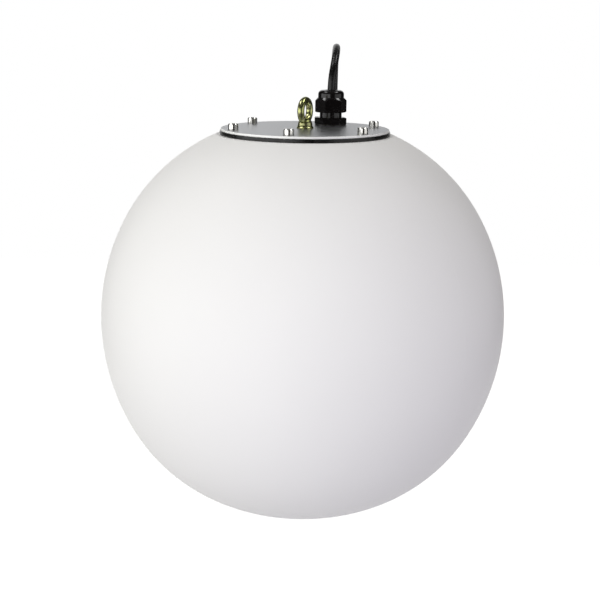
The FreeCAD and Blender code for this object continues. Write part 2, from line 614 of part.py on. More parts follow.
# ---------------------------------------------------------------- the cable gland
def build_gland():
    """Nylon cable gland: washer, body with fingers, rubber, dome nut and lock nut."""
    at = {"x": "gland_x", "y": "gland_y"}
    disc("gland_washer", "gland_washer_radius", "gland_thread_radius + thread_play",
         "plate_top", "gland_washer_thickness", **at)

    corner = "gland_flats / 2 / cos(30)"
    body = new_body("gland_body", z="plate_top", **at)
    revolve(body, [
        ("gland_bore_radius", "-gland_thread_length"),
        ("gland_thread_radius - 0.8", "-gland_thread_length"),
        ("gland_thread_radius", "0.8 - gland_thread_length"),
        ("gland_thread_radius", "gland_washer_thickness"),
        (corner, "gland_washer_thickness"),
        (corner, "gland_base_top - 0.9"),
        ("gland_flats / 2", "gland_base_top"),
        ("gland_neck_radius", "gland_base_top"),
        ("gland_neck_radius", "gland_neck_top"),
        ("gland_claw_radius", "gland_neck_top"),
        ("gland_claw_radius - 1", "gland_claw_top"),
        ("gland_claw_radius - 2", "gland_claw_top"),
        ("gland_seat_radius", "gland_neck_top"),
        ("gland_seat_radius", "gland_seat_bottom"),
        ("gland_bore_radius", "gland_seat_bottom"),
    ])
    trim_to_hexagon(body, "gland_flats", f"{corner} + 1", "gland_washer_thickness",
                    "gland_base_top - gland_washer_thickness")
    sketch = new_sketch(body, "XY_Plane", lift="gland_neck_top")
    draw_rectangle(sketch, "gland_claw_radius", "0", "4", "1")
    slot = extrude(body, sketch, "gland_claw_top - gland_neck_top", cut=True)
    ring_pattern(body, [slot], "gland_finger_count")

    rubber = new_body("gland_rubber", z="plate_top", **at)
    revolve(rubber, [
        ("cord_diameter / 2 + thread_play", "gland_seat_bottom"),
        ("gland_seat_radius - thread_play", "gland_seat_bottom"),
        ("gland_seat_radius - thread_play", "gland_neck_top"),
        ("gland_claw_radius - 2.1", "gland_claw_top - 0.5"),
        ("cord_diameter / 2 + thread_play", "gland_claw_top - 0.5"),
    ])

    nut = new_body("gland_dome_nut", z="plate_top", turn="gland_nut_turn", **at)
    inner = "gland_dome_top - gland_dome_round"
    revolve(nut, [
        ("gland_neck_radius + turning_play", "gland_nut_bottom"),
        (f"{corner} - 0.9", "gland_nut_bottom"),
        (corner, "gland_nut_bottom + 0.6"),
        (corner, "gland_hex_top"),
        ("gland_dome_radius", "gland_shoulder_top"),
        ("gland_dome_radius", inner, "gland_dome_round", 1),
        ("gland_dome_radius - gland_dome_round", "gland_dome_top"),
        ("gland_mouth_radius + 0.8", "gland_dome_top"),
        ("gland_mouth_radius", "gland_dome_top - 0.8"),
        ("gland_mouth_radius", "gland_claw_top + 2 * moving_gap"),
        ("gland_claw_radius - 1 + moving_gap", "gland_claw_top + moving_gap"),
        ("gland_claw_radius + moving_gap", "gland_neck_top + moving_gap"),
        ("gland_neck_radius + turning_play", "gland_neck_top + moving_gap"),
    ])
    trim_to_hexagon(nut, "gland_flats", f"{corner} + 1", "gland_nut_bottom",
                    "gland_shoulder_top - gland_nut_bottom")

    lock = new_body("gland_lock_nut", turn="gland_lock_turn", **at)
    hex_nut(lock, "gland_lock_flats", "gland_thread_radius + thread_play",
            "(plate_under - gland_lock_height)", "gland_lock_height")


# ---------------------------------------------------------------- the stirrup
def build_stirrup():
    """Bent steel strip that hangs the lampholder under the plate, on two of the three weld
    studs; the third stud takes the earth core's ring terminal."""
    body = new_body("lamp_stirrup")
    inside, outside = "stirrup_half_width", "(stirrup_half_width + stirrup_strip)"
    foot, foot_under = f"({outside} + stirrup_foot)", "(plate_under - stirrup_strip)"
    bend, outer_bend = "stirrup_bend", "(stirrup_bend + stirrup_strip)"
    bar_top = "(stirrup_under + stirrup_strip)"
    sketch = new_sketch(body)
    draw_outline(sketch, [
        (f"-{foot}", foot_under),
        (f"-({outside} + {bend})", foot_under, bend, -1),
        (f"-{outside}", f"{foot_under} - {bend}"),
        (f"-{outside}", f"stirrup_under + {outer_bend}", outer_bend, 1),
        (f"{outer_bend} - {outside}", "stirrup_under"),
        (f"{outside} - {outer_bend}", "stirrup_under", outer_bend, 1),
        (outside, f"stirrup_under + {outer_bend}"),
        (outside, f"{foot_under} - {bend}", bend, -1),
        (f"{outside} + {bend}", foot_under),
        (foot, foot_under),
        (foot, "plate_under"),
        (f"{inside} + {outer_bend}", "plate_under", outer_bend, 1),
        (inside, f"plate_under - {outer_bend}"),
        (inside, f"{bar_top} + {bend}", bend, -1),
        (f"{inside} - {bend}", bar_top),
        (f"{bend} - {inside}", bar_top, bend, -1),
        (f"-{inside}", f"{bar_top} + {bend}"),
        (f"-{inside}", f"plate_under - {outer_bend}", outer_bend, 1),
        (f"-({inside} + {outer_bend})", "plate_under"),
        (f"-{foot}", "plate_under"),
    ])
    extrude(body, sketch, "stirrup_width", middle=True)
    sketch = new_sketch(body, "XY_Plane", lift="plate_under")
    draw_circle(sketch, "stud_radius + screw_hole_play", "stud_x")
    draw_circle(sketch, "stud_radius + screw_hole_play", "-stud_x")
    extrude(body, sketch, "stirrup_strip", cut=True, down=True)
    sketch = new_sketch(body, "XY_Plane", lift="stirrup_under")
    draw_circle(sketch, "nipple_radius + screw_hole_play")
    extrude(body, sketch, "stirrup_strip", cut=True)

    places = [("stud_x", "0", "stirrup_strip"), ("-stud_x", "0", "stirrup_strip"),
              ("-gland_x", "gland_y", "lug_thickness")]
    studs = new_body("plate_studs")
    nuts = new_body("stud_nuts")
    for x, y, seat in places:
        sketch = new_sketch(studs, "XY_Plane", lift="plate_under")
        draw_circle(sketch, "stud_radius", x, y)
        extrude(studs, sketch, "stud_length", down=True)
        for flats, thickness, low in (
                (None, "stud_flange_height", f"(plate_under - {seat})"),
                ("stud_nut_flats", "stud_nut_height - stud_flange_height",
                 f"(plate_under - {seat} - stud_flange_height)")):
            sketch = new_sketch(nuts, "XY_Plane", lift=low)
            if flats:
                corner = f"({flats}) / 2 / cos(30)"
                draw_outline(sketch, [(f"{x} + {corner} * cos({60 * k})",
                                       f"{y} + {corner} * sin({60 * k})") for k in range(6)])
            else:
                draw_circle(sketch, "stud_flange_radius", x, y)
            draw_circle(sketch, "stud_radius + thread_play", x, y)
            extrude(nuts, sketch, thickness, down=True)

    lug = new_body("earth_lug", x="-gland_x", y="gland_y")
    sketch = new_sketch(lug, "XY_Plane", lift="plate_under")
    draw_circle(sketch, "stud_flange_radius")
    draw_circle(sketch, "stud_radius + thread_play")
    extrude(lug, sketch, "lug_thickness", down=True)
    sketch = new_sketch(lug, "XY_Plane", lift="plate_under")
    draw_rectangle(sketch, "stud_flange_radius - 1 + lug_tongue_length / 2", "0",
                   "lug_tongue_length", "lug_tongue_width")
    extrude(lug, sketch, "lug_thickness", down=True)
    sketch = new_sketch(lug, "YZ_Plane", lift="lug_barrel_x")
    draw_circle(sketch, "core_diameter / 2 + lug_barrel_wall", "0", "lug_barrel_z")
    draw_circle(sketch, "core_diameter / 2 + thread_play", "0", "lug_barrel_z")
    extrude(lug, sketch, "lug_barrel_length")

    nipple = new_body("stirrup_nipple")
    length = "nipple_rise + stirrup_strip + nipple_nut_height + holder_entry_height"
    sketch = new_sketch(nipple, "XY_Plane", lift="stirrup_under + stirrup_strip + nipple_rise")
    draw_circle(sketch, "nipple_radius")
    draw_circle(sketch, "nipple_bore")
    extrude(nipple, sketch, length, down=True)
    pair = new_body("nipple_nuts")
    for low in ("(stirrup_under + stirrup_strip)", "(stirrup_under - nipple_nut_height)"):
        hex_nut(pair, "nipple_nut_flats", "nipple_radius + thread_play", low,
                "nipple_nut_height")


# ---------------------------------------------------------------- the lampholder
def build_holder():
    """Screw lampholder: cap, skirt, ceramic core, brass sleeve, spring and terminals."""
    cap = new_body("lampholder_cap", z="holder_top")
    shoulder = "(holder_cap_radius - holder_entry_radius)"
    side = f"-(holder_entry_height + {shoulder})"
    revolve(cap, [
        ("nipple_radius + thread_play", "0"),
        ("holder_entry_radius", "0"),
        ("holder_entry_radius", "-holder_entry_height", shoulder, -1),
        ("holder_cap_radius", side),
        ("holder_cap_radius", "-holder_cap_length"),
        ("holder_cap_radius - holder_wall", "-holder_cap_length"),
        ("holder_cap_radius - holder_wall", side, f"{shoulder} - holder_wall", 1),
        ("holder_entry_radius", "-(holder_entry_height + holder_wall)"),
        ("nipple_radius + thread_play", "-(holder_entry_height + holder_wall)"),
    ])
    skirt = new_body("lampholder_skirt", z="holder_top")
    end = "-(holder_skirt_top + holder_skirt_length)"
    outside = "holder_cap_radius + holder_wall"
    revolve(skirt, [
        ("holder_cap_radius + thread_play", "-holder_skirt_top"),
        (outside, "-holder_skirt_top"),
        (outside, "-holder_ledge"),
        (f"{outside} - 1", f"{end} + 1.5"),
        (f"{outside} - 2.5", end),
        ("skirt_bore", end),
        ("skirt_bore", "-holder_ledge"),
        ("holder_cap_radius + thread_play", "-holder_ledge"),
    ])
    core = new_body("lampholder_core", z="core_under")
    core_radius = "(holder_cap_radius - holder_wall - 0.3)"
    revolve(core, [
        ("0", "0"),
        (core_radius, "0"),
        (core_radius, "holder_core_height - 2"),
        (f"{core_radius} - 2", "holder_core_height"),
        ("0", "holder_core_height"),
    ])
    sleeve = new_body("thread_sleeve", z="core_under")
    revolve(sleeve, [
        ("sleeve_bore - sleeve_lip", "0"),
        ("sleeve_radius", "0"),
        ("sleeve_radius", "-sleeve_length"),
        ("sleeve_bore", "-sleeve_length"),
        ("sleeve_bore", "-sleeve_wall"),
        ("sleeve_bore - sleeve_lip", "-sleeve_wall"),
    ])
    first = "(lamp_seat_gap + lamp_groove)"
    ridge = revolve(sleeve, [
        ("sleeve_bore - sleeve_ridge", f"-{first}"),
        ("sleeve_bore + sleeve_wall / 3", f"-{first} - sleeve_ridge"),
        ("sleeve_bore + sleeve_wall / 3", f"-{first} + sleeve_ridge"),
    ])
    stack_pattern(sleeve, [ridge], "lamp_thread_count - 1", "lamp_thread_pitch")

    spring = new_body("contact_spring", z="core_under")
    sketch = new_sketch(spring)
    dip = "(lamp_seat_gap - moving_gap)"
    heel, toe = "(spring_root * 0.55)", "(spring_root * 0.22)"
    draw_outline(sketch, [
        ("-spring_root", "0"),
        ("-spring_root", "-spring_strip"),
        (f"-{heel} - spring_strip / 2", "-spring_strip"),
        (f"-{toe} - spring_strip / 2", f"0 - {dip}"),
        ("spring_tongue", f"0 - {dip}"),
        ("spring_tongue", f"spring_strip - {dip}"),
        (f"-{toe}", f"spring_strip - {dip}"),
        (f"-{heel}", "0"),
    ])
    extrude(spring, sketch, "spring_width", middle=True)
    blocks = new_body("holder_terminals", z="core_under + holder_core_height")
    screws = new_body("terminal_screws", z="core_under + holder_core_height")
    for x in ("-terminal_spread", "terminal_spread"):
        sketch = new_sketch(blocks, "XY_Plane")
        draw_rectangle(sketch, x, "0", "terminal_width", "terminal_depth")
        extrude(blocks, sketch, "terminal_height")
        sketch = new_sketch(screws, "XY_Plane", lift="terminal_height")
        draw_circle(sketch, "terminal_screw_radius", x, "terminal_screw_shift")
        extrude(screws, sketch, "terminal_screw_height")


# ---------------------------------------------------------------- the lamp
def build_lamp():
    """Lamp with a rolled screw cap, a white housing, a ring of chips and an opal bulb."""
    tip = {"z": "lamp_tip"}
    contact = new_body("lamp_contact", **tip)
    revolve(contact, [
        ("0", "0"),
        ("0", "-lamp_contact_height"),
        ("lamp_contact_radius", "-lamp_contact_height"),
        ("lamp_contact_radius", "-lamp_contact_height * 2 / 3"),
        ("lamp_contact_radius * 2 / 3", "0"),
    ])
    insulator = new_body("lamp_insulator", **tip)
    revolve(insulator, [
        ("0", "-lamp_contact_height"),
        ("0", "-lamp_cap_start - 1"),
        ("lamp_neck_radius", "-lamp_cap_start - 1"),
        ("lamp_neck_radius", "-lamp_cap_start"),
        ("lamp_contact_radius + 0.6", "-lamp_contact_height"),
    ])
    shell = new_body("lamp_screw_cap", **tip)
    revolve(shell, [
        ("lamp_neck_radius + thread_play", "-lamp_cap_start"),
        ("lamp_root_radius", "-lamp_cap_start"),
        ("lamp_thread_radius", "-lamp_cap_start - lamp_thread_depth * 1.8"),
        ("lamp_thread_radius", "-lamp_cap_length"),
        ("lamp_neck_radius + thread_play", "-lamp_cap_length"),
    ])
    groove = revolve(shell, [
        ("lamp_root_radius", "0.5 - lamp_groove"),
        ("lamp_root_radius", "-lamp_groove - 0.5"),
        ("lamp_thread_radius + 0.1", "-lamp_groove - 1"),
        ("lamp_thread_radius + 0.1", "1 - lamp_groove"),
    ], cut=True)
    stack_pattern(shell, [groove], "lamp_thread_count", "lamp_thread_pitch")

    housing = new_body("lamp_housing", **tip)
    flank = "-(lamp_cap_length + 0.5)"
    revolve(housing, [
        ("lamp_neck_radius - lamp_housing_wall", "-lamp_neck_start"),
        ("lamp_neck_radius - lamp_housing_wall", flank),
        ("lamp_radius - 6", "-(lamp_joint - 5)"),
        ("lamp_radius - 5", "-(lamp_joint - led_board_thickness)"),
        ("lamp_housing_radius - lamp_housing_wall", "-(lamp_joint - led_board_thickness)"),
        ("lamp_housing_radius - lamp_housing_wall", "-lamp_joint"),
        ("lamp_housing_radius", "-lamp_joint"),
        ("lamp_housing_radius", "-(lamp_joint - 6)", "lamp_radius * 2", 1),
        ("lamp_thread_radius + 0.6", f"{flank} - 1"),
        ("lamp_thread_radius + 0.6", "-lamp_cap_length"),
        ("lamp_neck_radius", "-lamp_cap_length"),
        ("lamp_neck_radius", "-lamp_neck_start"),
    ])
    board = new_body("led_board", **tip)
    sketch = new_sketch(board, "XY_Plane", lift="-lamp_joint")
    draw_circle(sketch, "lamp_housing_radius - lamp_housing_wall - thread_play")
    extrude(board, sketch, "led_board_thickness")
    chips = new_body("led_chips", **tip)
    sketch = new_sketch(chips, "XY_Plane", lift="-lamp_joint")
    draw_rectangle(sketch, "led_circle", "0", "led_side", "led_side")
    chip = extrude(chips, sketch, "led_height", down=True)
    ring_pattern(chips, [chip], "led_count")
    driver = new_body("driver_board", **tip)
    sketch = new_sketch(driver)
    draw_rectangle(sketch, "0", "driver_length / 2 - board_back", "driver_width",
                   "driver_length")
    extrude(driver, sketch, "driver_thickness", middle=True)
    parts = new_body("driver_parts", **tip)
    sketch = new_sketch(parts, lift="driver_thickness / 2")
    draw_circle(sketch, "capacitor_radius", "-driver_width * 0.15",
                "driver_length * 0.7 - board_back")
    draw_rectangle(sketch, "driver_width * 0.1", "driver_length * 0.26 - board_back",
                   "coil_part_width", "coil_part_length")
    extrude(parts, sketch, "driver_part_height")

    bulb = new_body("lamp_bulb", **tip)
    rise = "(lamp_bulb_middle - lamp_joint)"
    revolve(bulb, [
        (f"sqrt(lamp_radius^2 - {rise}^2)", "-lamp_joint", "lamp_radius", -1),
        ("0", "-(lamp_bulb_middle + lamp_radius)"),
        ("0", "lamp_wall - (lamp_bulb_middle + lamp_radius)", "lamp_radius - lamp_wall", 1),
        (f"sqrt((lamp_radius - lamp_wall)^2 - {rise}^2)", "-lamp_joint"),
    ])


# ---------------------------------------------------------------- the lead
def arc_through(start, corner, end):
    """The arc that leaves start towards corner and comes to end from it, at equal
    distances: its middle is that of a rational quadratic curve."""
    weight = (end - start).Length / (2 * (corner - start).Length)
    middle = (start + corner * (2 * weight) + end) * (1 / (2 + 2 * weight))
    return Part.Arc(start, middle, end).toShape()


def route_wire(points, label):
    """Straight runs joined by tangent arcs, each with 0.45 of its shorter run."""
    edges, radii, last = [], [], points[0]
    for before, corner, after in zip(points, points[1:], points[2:]):
        back, ahead = before - corner, after - corner
        reach = 0.45 * min(back.Length, ahead.Length)
        start = corner + back.normalize() * reach
        end = corner + ahead.normalize() * reach
        half = (math.pi - back.getAngle(ahead)) / 2
        radii.append(reach / math.tan(half))
        edges.append(Part.LineSegment(last, start).toShape())
        edges.append(arc_through(start, corner, end))
        last = end
    edges.append(Part.LineSegment(last, points[-1]).toShape())
    print(f"{label}: radii " + " ".join(f"{radius:.0f}" for radius in radii))
    return Part.Wire(edges)


def round_tube(wire, diameter, label):
    """A round section swept along the wire, with its volume checked."""
    edge = wire.OrderedEdges[0]
    start, way = edge.valueAt(edge.FirstParameter), edge.tangentAt(edge.FirstParameter)
    section = Part.Wire([Part.Circle(start, way, diameter / 2).toShape()])
    tube = wire.makePipeShell([section], True, False)
    expected = math.pi * diameter ** 2 / 4 * wire.Length
    print(f"{label}: length {wire.Length:.1f}, volume ratio {tube.Volume / expected:.4f}")
    return tube


def add_feature(label, shape, place=None):
    """A sub-part whose shape is worked out from the sheet's numbers."""
    feature = doc.addObject("Part::Feature", label)
    feature.Label = label
    feature.Shape = shape
    feature.Placement = place or FreeCAD.Placement()
    return feature


def lead_points():
    """The free lead's route from the gland's mouth to the coil, chosen by hand. It starts
    straight up, arches back, comes down behind the globe and turns into the coil."""
    mouth = V(size("gland_x"), size("gland_y"), size("mouth_z"))
    route = [(0, 0, 0), (0, 0, 12), (1.6, 5, 28), (2.6, 19.5, 42.5), (2.8, 42.5, 48.5),
             (3, 67, 39), (4, 86, 16), (5, 96, -16), (6, 105, -51), (8, 120, -90),
             (10, 140, -130), (10, 154, -168), (3, 158, -198), (-21, 158, -218),
             (-52, 158, -218)]
    points = [mouth + V(*step) for step in route]
    points[-1] = V(size("coil_x"), size("coil_y"), size("coil_top"))
    return points


def coil_wire(start):
    """Turns in a vertical plane, from the top and to the left: they spiral in for half of
    the way, cross to a second layer in the middle half turn, and spiral out again."""
    outer, pitch = size("coil_outer_radius"), size("coil_pitch")
    turns = size("coil_turns")
    crossing = (turns - 0.5) / 2
    middle = start - V(0, 0, outer)

    def spot(turn):
        radius = outer - pitch * min(turn, turns - turn)
        layer = min(max((turn - crossing) / 0.5, 0), 1)
        angle = math.pi / 2 + 2 * math.pi * turn
        return middle + V(radius * math.cos(angle), pitch * layer, radius * math.sin(angle))

    stations = [turns * k / round(turns * 4) for k in range(round(turns * 4) + 1)]
    spots = [spot(turn) for turn in stations]
    ways = [(spot(turn + 0.002) - spot(turn - 0.002)).normalize() for turn in stations]
    ways[0], ways[-1] = V(-1, 0, 0), V(0, 0, -1)
    edges = []
    for first, last, leave, arrive in zip(spots, spots[1:], ways, ways[1:]):
        gap, both = last - first, leave + arrive
        bend = 2 * (1 - leave.dot(arrive))
        reach = (math.sqrt(gap.dot(both) ** 2 + bend * gap.dot(gap)) - gap.dot(both)) / bend
        corner_a, corner_b = first + leave * reach, last - arrive * reach
        joint = (corner_a + corner_b) * 0.5
        edges.append(arc_through(first, corner_a, joint))
        edges.append(arc_through(joint, corner_b, last))
    return Part.Wire(edges)


def least_gap(wire, diameter):
    """Least clear distance between stretches of the wire more than half a turn apart."""
    points = wire.discretize(Number=400)
    step = wire.Length / 399
    apart = int(diameter * 8 / step)
    nearest = min((first - second).Length for index, first in enumerate(points)
                  for second in points[index + apart:])
    return nearest - diameter


def build_lead():
    """The lead: sheathed through the gland, free behind the globe, and wound in its coil."""
    inside = new_body("lead_inside", x="gland_x", y="gland_y")
    sketch = new_sketch(inside, "XY_Plane", lift="sheath_end")
    draw_circle(sketch, "cord_diameter / 2")
    extrude(inside, sketch, "mouth_z - sheath_end")

    diameter = size("cord_diameter")
    points = lead_points()
    add_feature("mains_lead", round_tube(route_wire(points, "mains_lead"), diameter,
                                         "mains_lead"))
    turns = coil_wire(points[-1])
    add_feature("lead_coil", round_tube(turns, diameter, "lead_coil"))
    print(f"lead_coil: least gap to itself {least_gap(turns, diameter):.2f}")

    end = new_body("lead_end", x="plug_x", y="plug_y")
    sketch = new_sketch(end, "XY_Plane", lift="plug_top")
    draw_circle(sketch, "cord_diameter / 2")
    extrude(end, sketch, "lead_end_length")


def build_cores():
    """Live and neutral cores from the sheath through the hollow thread to the terminals,
    and the earth core to its ring terminal."""
    x, y, z = size("gland_x"), size("gland_y"), size("sheath_end")
    bar = size("stirrup_under + core_loop_rise")
    over = size("core_under + holder_core_height + core_head_room")
    diameter, shift = size("core_diameter"), size("core_spread")
    lift, low = size("core_loop_step"), z - size("core_drop")
    lug_x, lug_z = size("lug_barrel_x + lug_barrel_length / 2 - gland_x"), size("lug_barrel_z")
    routes = {
        "live_core": [V(x + shift, y - shift / 2, z), V(x + shift, y - shift / 2, low),
                      V(x * 0.73, y / 2, bar), V(shift, 0, bar), V(shift, 0, over),
                      V(shift * 4.7, 0, over)],
        "neutral_core": [V(x - shift, y - shift / 2, z), V(x - shift, y - shift / 2, low),
                         V(x * 0.42, y / 2, bar + lift), V(-shift, 0, bar + lift),
                         V(-shift, 0, over), V(-shift * 4.7, 0, over)],
        "earth_core": [V(x, y + 1.6, z), V(x, y + 1.6, low), V(x * 0.37, y + 2, z - 3),
                       V(0, y, lug_z), V(lug_x, y, lug_z)],
    }
    for label, points in routes.items():
        add_feature(label, round_tube(route_wire(points, label), diameter, label))


def build_tie():
    """Strap round all the turns of the coil, just past the place where the lead joins it."""
    tie = new_body("coil_tie", x="coil_x - tie_width", y="coil_y")
    half, play = "cord_diameter / 2", "moving_gap"
    low = f"(coil_middle + sqrt((coil_outer_radius - coil_pitch * coil_turns / 2 - {half})^2"
    low += f" - (1.5 * tie_width)^2) - {play})"
    high = f"(coil_top + {half} + {play})"
    near, far = f"(0 - {half} - {play})", f"(coil_pitch + {half} + {play})"
    sketch = new_sketch(tie, "YZ_Plane", lift="0 - tie_width / 2")
    for grow, corner in (("0", half), ("tie_thickness", f"({half} + tie_thickness)")):
        left, right = f"({near} - {grow})", f"({far} + {grow})"
        bottom, top = f"({low} - {grow})", f"({high} + {grow})"
        draw_outline(sketch, [
            (f"{left} + {corner}", bottom),
            (f"{right} - {corner}", bottom, corner, 1),
            (right, f"{bottom} + {corner}"),
            (right, f"{top} - {corner}", corner, 1),
            (f"{right} - {corner}", top),
            (f"{left} + {corner}", top, corner, 1),
            (left, f"{top} - {corner}"),
            (left, f"{bottom} + {corner}", corner, 1),
        ])
    extrude(tie, sketch, "tie_width")


def build_plug():
    """Moulded earthed plug: ribbed boot, round body, two pins, side clips and a socket."""
    at = {"x": "plug_x", "y": "plug_y", "z": "plug_top"}
    face = "-(plug_boot_length + plug_length)"
    body = new_body("plug_body", **at)
    outline = [("0", "0")]
    ribs = round(size("plug_rib_count"))
    for rib in range(ribs):
        share = rib / ribs
        radius = f"plug_boot_radius + (plug_neck_radius - plug_boot_radius) * {share}"
        for across, along in ((radius, share), (radius, share + 0.6 / ribs),
                              (f"{radius} - plug_rib_depth", share + 0.7 / ribs),
                              (f"{radius} - plug_rib_depth", share + 0.9 / ribs)):
            outline.append((across, f"-plug_boot_length * {along:.2f}"))
    shoulder = "(plug_radius - plug_neck_radius)"
    outline += [
        ("plug_neck_radius", "-plug_boot_length", f"{shoulder} * 1.3", -1),
        ("plug_radius", f"-(plug_boot_length + {shoulder} * 1.2)"),
        ("plug_radius", f"{face} + 1"),
        ("plug_radius - 1", face),
        ("0", face),
    ]
    revolve(body, outline)
    sketch = new_sketch(body, "XY_Plane", lift=face)
    for side in ("1", "-1"):
        draw_rectangle(sketch, "0", f"{side} * plug_radius", "clip_width + 1",
                       "clip_recess * 2")
    extrude(body, sketch, "clip_length + 1", cut=True)
    sketch = new_sketch(body, "XY_Plane", lift=face)
    draw_circle(sketch, "earth_socket_radius + clip_thickness", "0", "earth_socket_shift")
    extrude(body, sketch, "earth_socket_depth", cut=True)

    pins = new_body("plug_pins", **at)
    pin = revolve(pins, [
        ("0", face),
        ("pin_radius", face),
        ("pin_radius", f"{face} - pin_length + pin_tip_round", "pin_tip_round", -1),
        ("pin_radius - pin_tip_round", f"{face} - pin_length"),
        ("0", f"{face} - pin_length"),
    ], shift="pin_spread")
    ring_pattern(pins, [pin], "2")
    clips = new_body("plug_earth_clips", **at)
    sketch = new_sketch(clips, "XY_Plane", lift=face)
    for side in ("1", "-1"):
        draw_rectangle(sketch, "0", f"{side} * (plug_radius - clip_recess + clip_thickness / 2)",
                       "clip_width", "clip_thickness")
    extrude(clips, sketch, "clip_length")
    socket = new_body("plug_earth_socket", **at)
    sketch = new_sketch(socket, "XY_Plane", lift=face)
    draw_circle(sketch, "earth_socket_radius + clip_thickness", "0", "earth_socket_shift")
    draw_circle(sketch, "earth_socket_radius", "0", "earth_socket_shift")
    extrude(socket, sketch, "earth_socket_depth")


# ---------------------------------------------------------------- build and export
build_globe()
build_inserts()
build_gasket()
build_plate()
build_screws()
build_eye()
build_gland()
build_stirrup()
build_holder()
build_lamp()
build_lead()
build_cores()
build_tie()
build_plug()
doc.recompute()

pieces = [item for item in doc.Objects
          if item.TypeId == "PartDesign::Body" or item.TypeId == "Part::Feature"
          and not item.getParentGroup()]
faults = [item.Name for item in doc.Objects
          if "Invalid" in item.State or "Error" in item.State]
faults += [item.Label for item in pieces if item.Shape.isNull() or not item.Shape.isValid()]
if faults:
    raise RuntimeError("failed: " + ", ".join(faults))
os.makedirs("parts", exist_ok=True)
for item in pieces:
    item.Shape.exportStep(f"parts/{item.Label}.step")
print(len(pieces), "nodes,", sum(len(item.Shape.Solids) for item in pieces), "solids")
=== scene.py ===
"""Garden globe light: the dressed model.

A white polyethylene globe hangs by the eye bolt of its round metal lid. Its mains lead leaves
the lid through a black cable gland, arches back and hangs behind the globe in a tied coil.
All lengths are metres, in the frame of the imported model: the origin is the middle of the
eye's hole, Z is up and the front faces -Y.
"""
import math

import bmesh
import bpy
import numpy as np
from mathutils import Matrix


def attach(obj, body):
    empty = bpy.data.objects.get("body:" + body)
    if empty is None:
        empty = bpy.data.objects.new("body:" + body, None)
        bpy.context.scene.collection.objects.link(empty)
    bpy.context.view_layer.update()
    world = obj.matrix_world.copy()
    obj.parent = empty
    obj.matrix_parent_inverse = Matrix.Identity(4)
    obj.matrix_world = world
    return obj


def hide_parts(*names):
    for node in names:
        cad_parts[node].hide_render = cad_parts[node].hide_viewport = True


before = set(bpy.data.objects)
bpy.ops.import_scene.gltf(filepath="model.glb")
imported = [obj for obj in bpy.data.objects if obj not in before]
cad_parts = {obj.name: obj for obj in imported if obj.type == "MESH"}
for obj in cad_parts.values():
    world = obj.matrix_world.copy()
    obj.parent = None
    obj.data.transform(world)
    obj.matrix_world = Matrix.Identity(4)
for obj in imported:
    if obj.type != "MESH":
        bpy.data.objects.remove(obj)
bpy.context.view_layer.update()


# ---------------------------------------------------------------- the photographer's place
# The light hangs a little lower than the camera, which stands less than a metre in front of
# it and looks down by about fifteen degrees, so that the lid shows as a flat ellipse.
camera = bpy.data.objects.new("camera", bpy.data.cameras.new("camera"))
camera.data.sensor_width, camera.data.lens = 36, 60.74
camera.location = (0, -0.8628, 0.06578)
camera.rotation_euler = (1.309865, -0.012367, 0.006048)
bpy.context.scene.collection.objects.link(camera)
bpy.context.scene.camera = camera


# ---------------------------------------------------------------- the mains lead
# Rubber-sheathed lead, 6.6 mm thick and 1.4 m long outside the light. It leaves the gland
# upwards, bends back over the lid, hangs behind the globe and is wound up for storage.
class Shade:
    """A socket of a material. Sums, products and powers of shades add Math nodes."""

    def __init__(self, socket):
        self.socket = socket

    def node(self, kind, settings, inputs, output=0):
        """Adds one more node: its settings first, then the values or links of its sockets."""
        tree = self.socket.id_data
        added = tree.nodes.new("ShaderNode" + kind)
        for name, value in settings.items():
            if name == "stops":
                for stop, (where, colour) in zip(added.color_ramp.elements, value):
                    stop.position, stop.color = where, colour
            else:
                setattr(added, name, value)
        for name, value in inputs.items():
            if isinstance(value, Shade):
                tree.links.new(value.socket, added.inputs[name])
            else:
                added.inputs[name].default_value = value
        return Shade(added.outputs[output])

    def maths(self, operation, *others):
        """One Math node, with this as its first value."""
        return self.node("Math", {"operation": operation}, dict(enumerate((self, *others))))

    def __add__(self, other):
        return self.maths("ADD", other)

    def __sub__(self, other):
        return self.maths("SUBTRACT", other)

    def __rsub__(self, other):
        return (self * -1).maths("ADD", other)

    def __mul__(self, other):
        return self.maths("MULTIPLY", other)

    def __truediv__(self, other):
        return self.maths("DIVIDE", other)

    def __pow__(self, other):
        return self.maths("POWER", other)

    __radd__, __rmul__ = __add__, __mul__

    def clear(self, low, high):
        """0 below low and 1 above high, with a smooth rise between them."""
        return self.node("MapRange", {"interpolation_type": "SMOOTHSTEP"},
                         {0: self, 1: low, 2: high, 3: 0.0, 4: 1.0})

    def between(self, low, high):
        """The colour low where this is 0, and the colour high where it is 1."""
        return self.node("Mix", {"data_type": "RGBA"}, {0: self, 6: low, 7: high}, 2)

    def noise(self, scale, detail=2.0, stretch=(1, 1, 1)):
        """Cloudy noise at this place, with so many clouds to the metre along each axis."""
        place = self.node("VectorMath", {"operation": "MULTIPLY"}, {0: self, 1: stretch})
        return self.node("TexNoise", {}, {"Vector": place, "Scale": scale, "Detail": detail})

    def parts(self):
        """The X, Y and Z of this place."""
        split = self.node("SeparateXYZ", {}, {0: self}).socket.node
        return [Shade(socket) for socket in split.outputs]

    def relief(self, height):
        """A normal for this height, which is in metres where this is 0 to 1."""
        return self.node("Bump", {}, {"Strength": 1.0, "Distance": height, "Height": self})


def new_finish(name, fixed):
    """A material whose shader has these fixed values, its shader, and the place on the object."""
    material = bpy.data.materials.new(name)
    material.use_nodes = True
    tree = material.node_tree
    shader = tree.nodes["Principled BSDF"]
    for socket, value in fixed.items():
        shader.inputs[socket].default_value = value
    place = tree.nodes.new("ShaderNodeTexCoord")
    return material, shader, Shade(place.outputs["Object"])


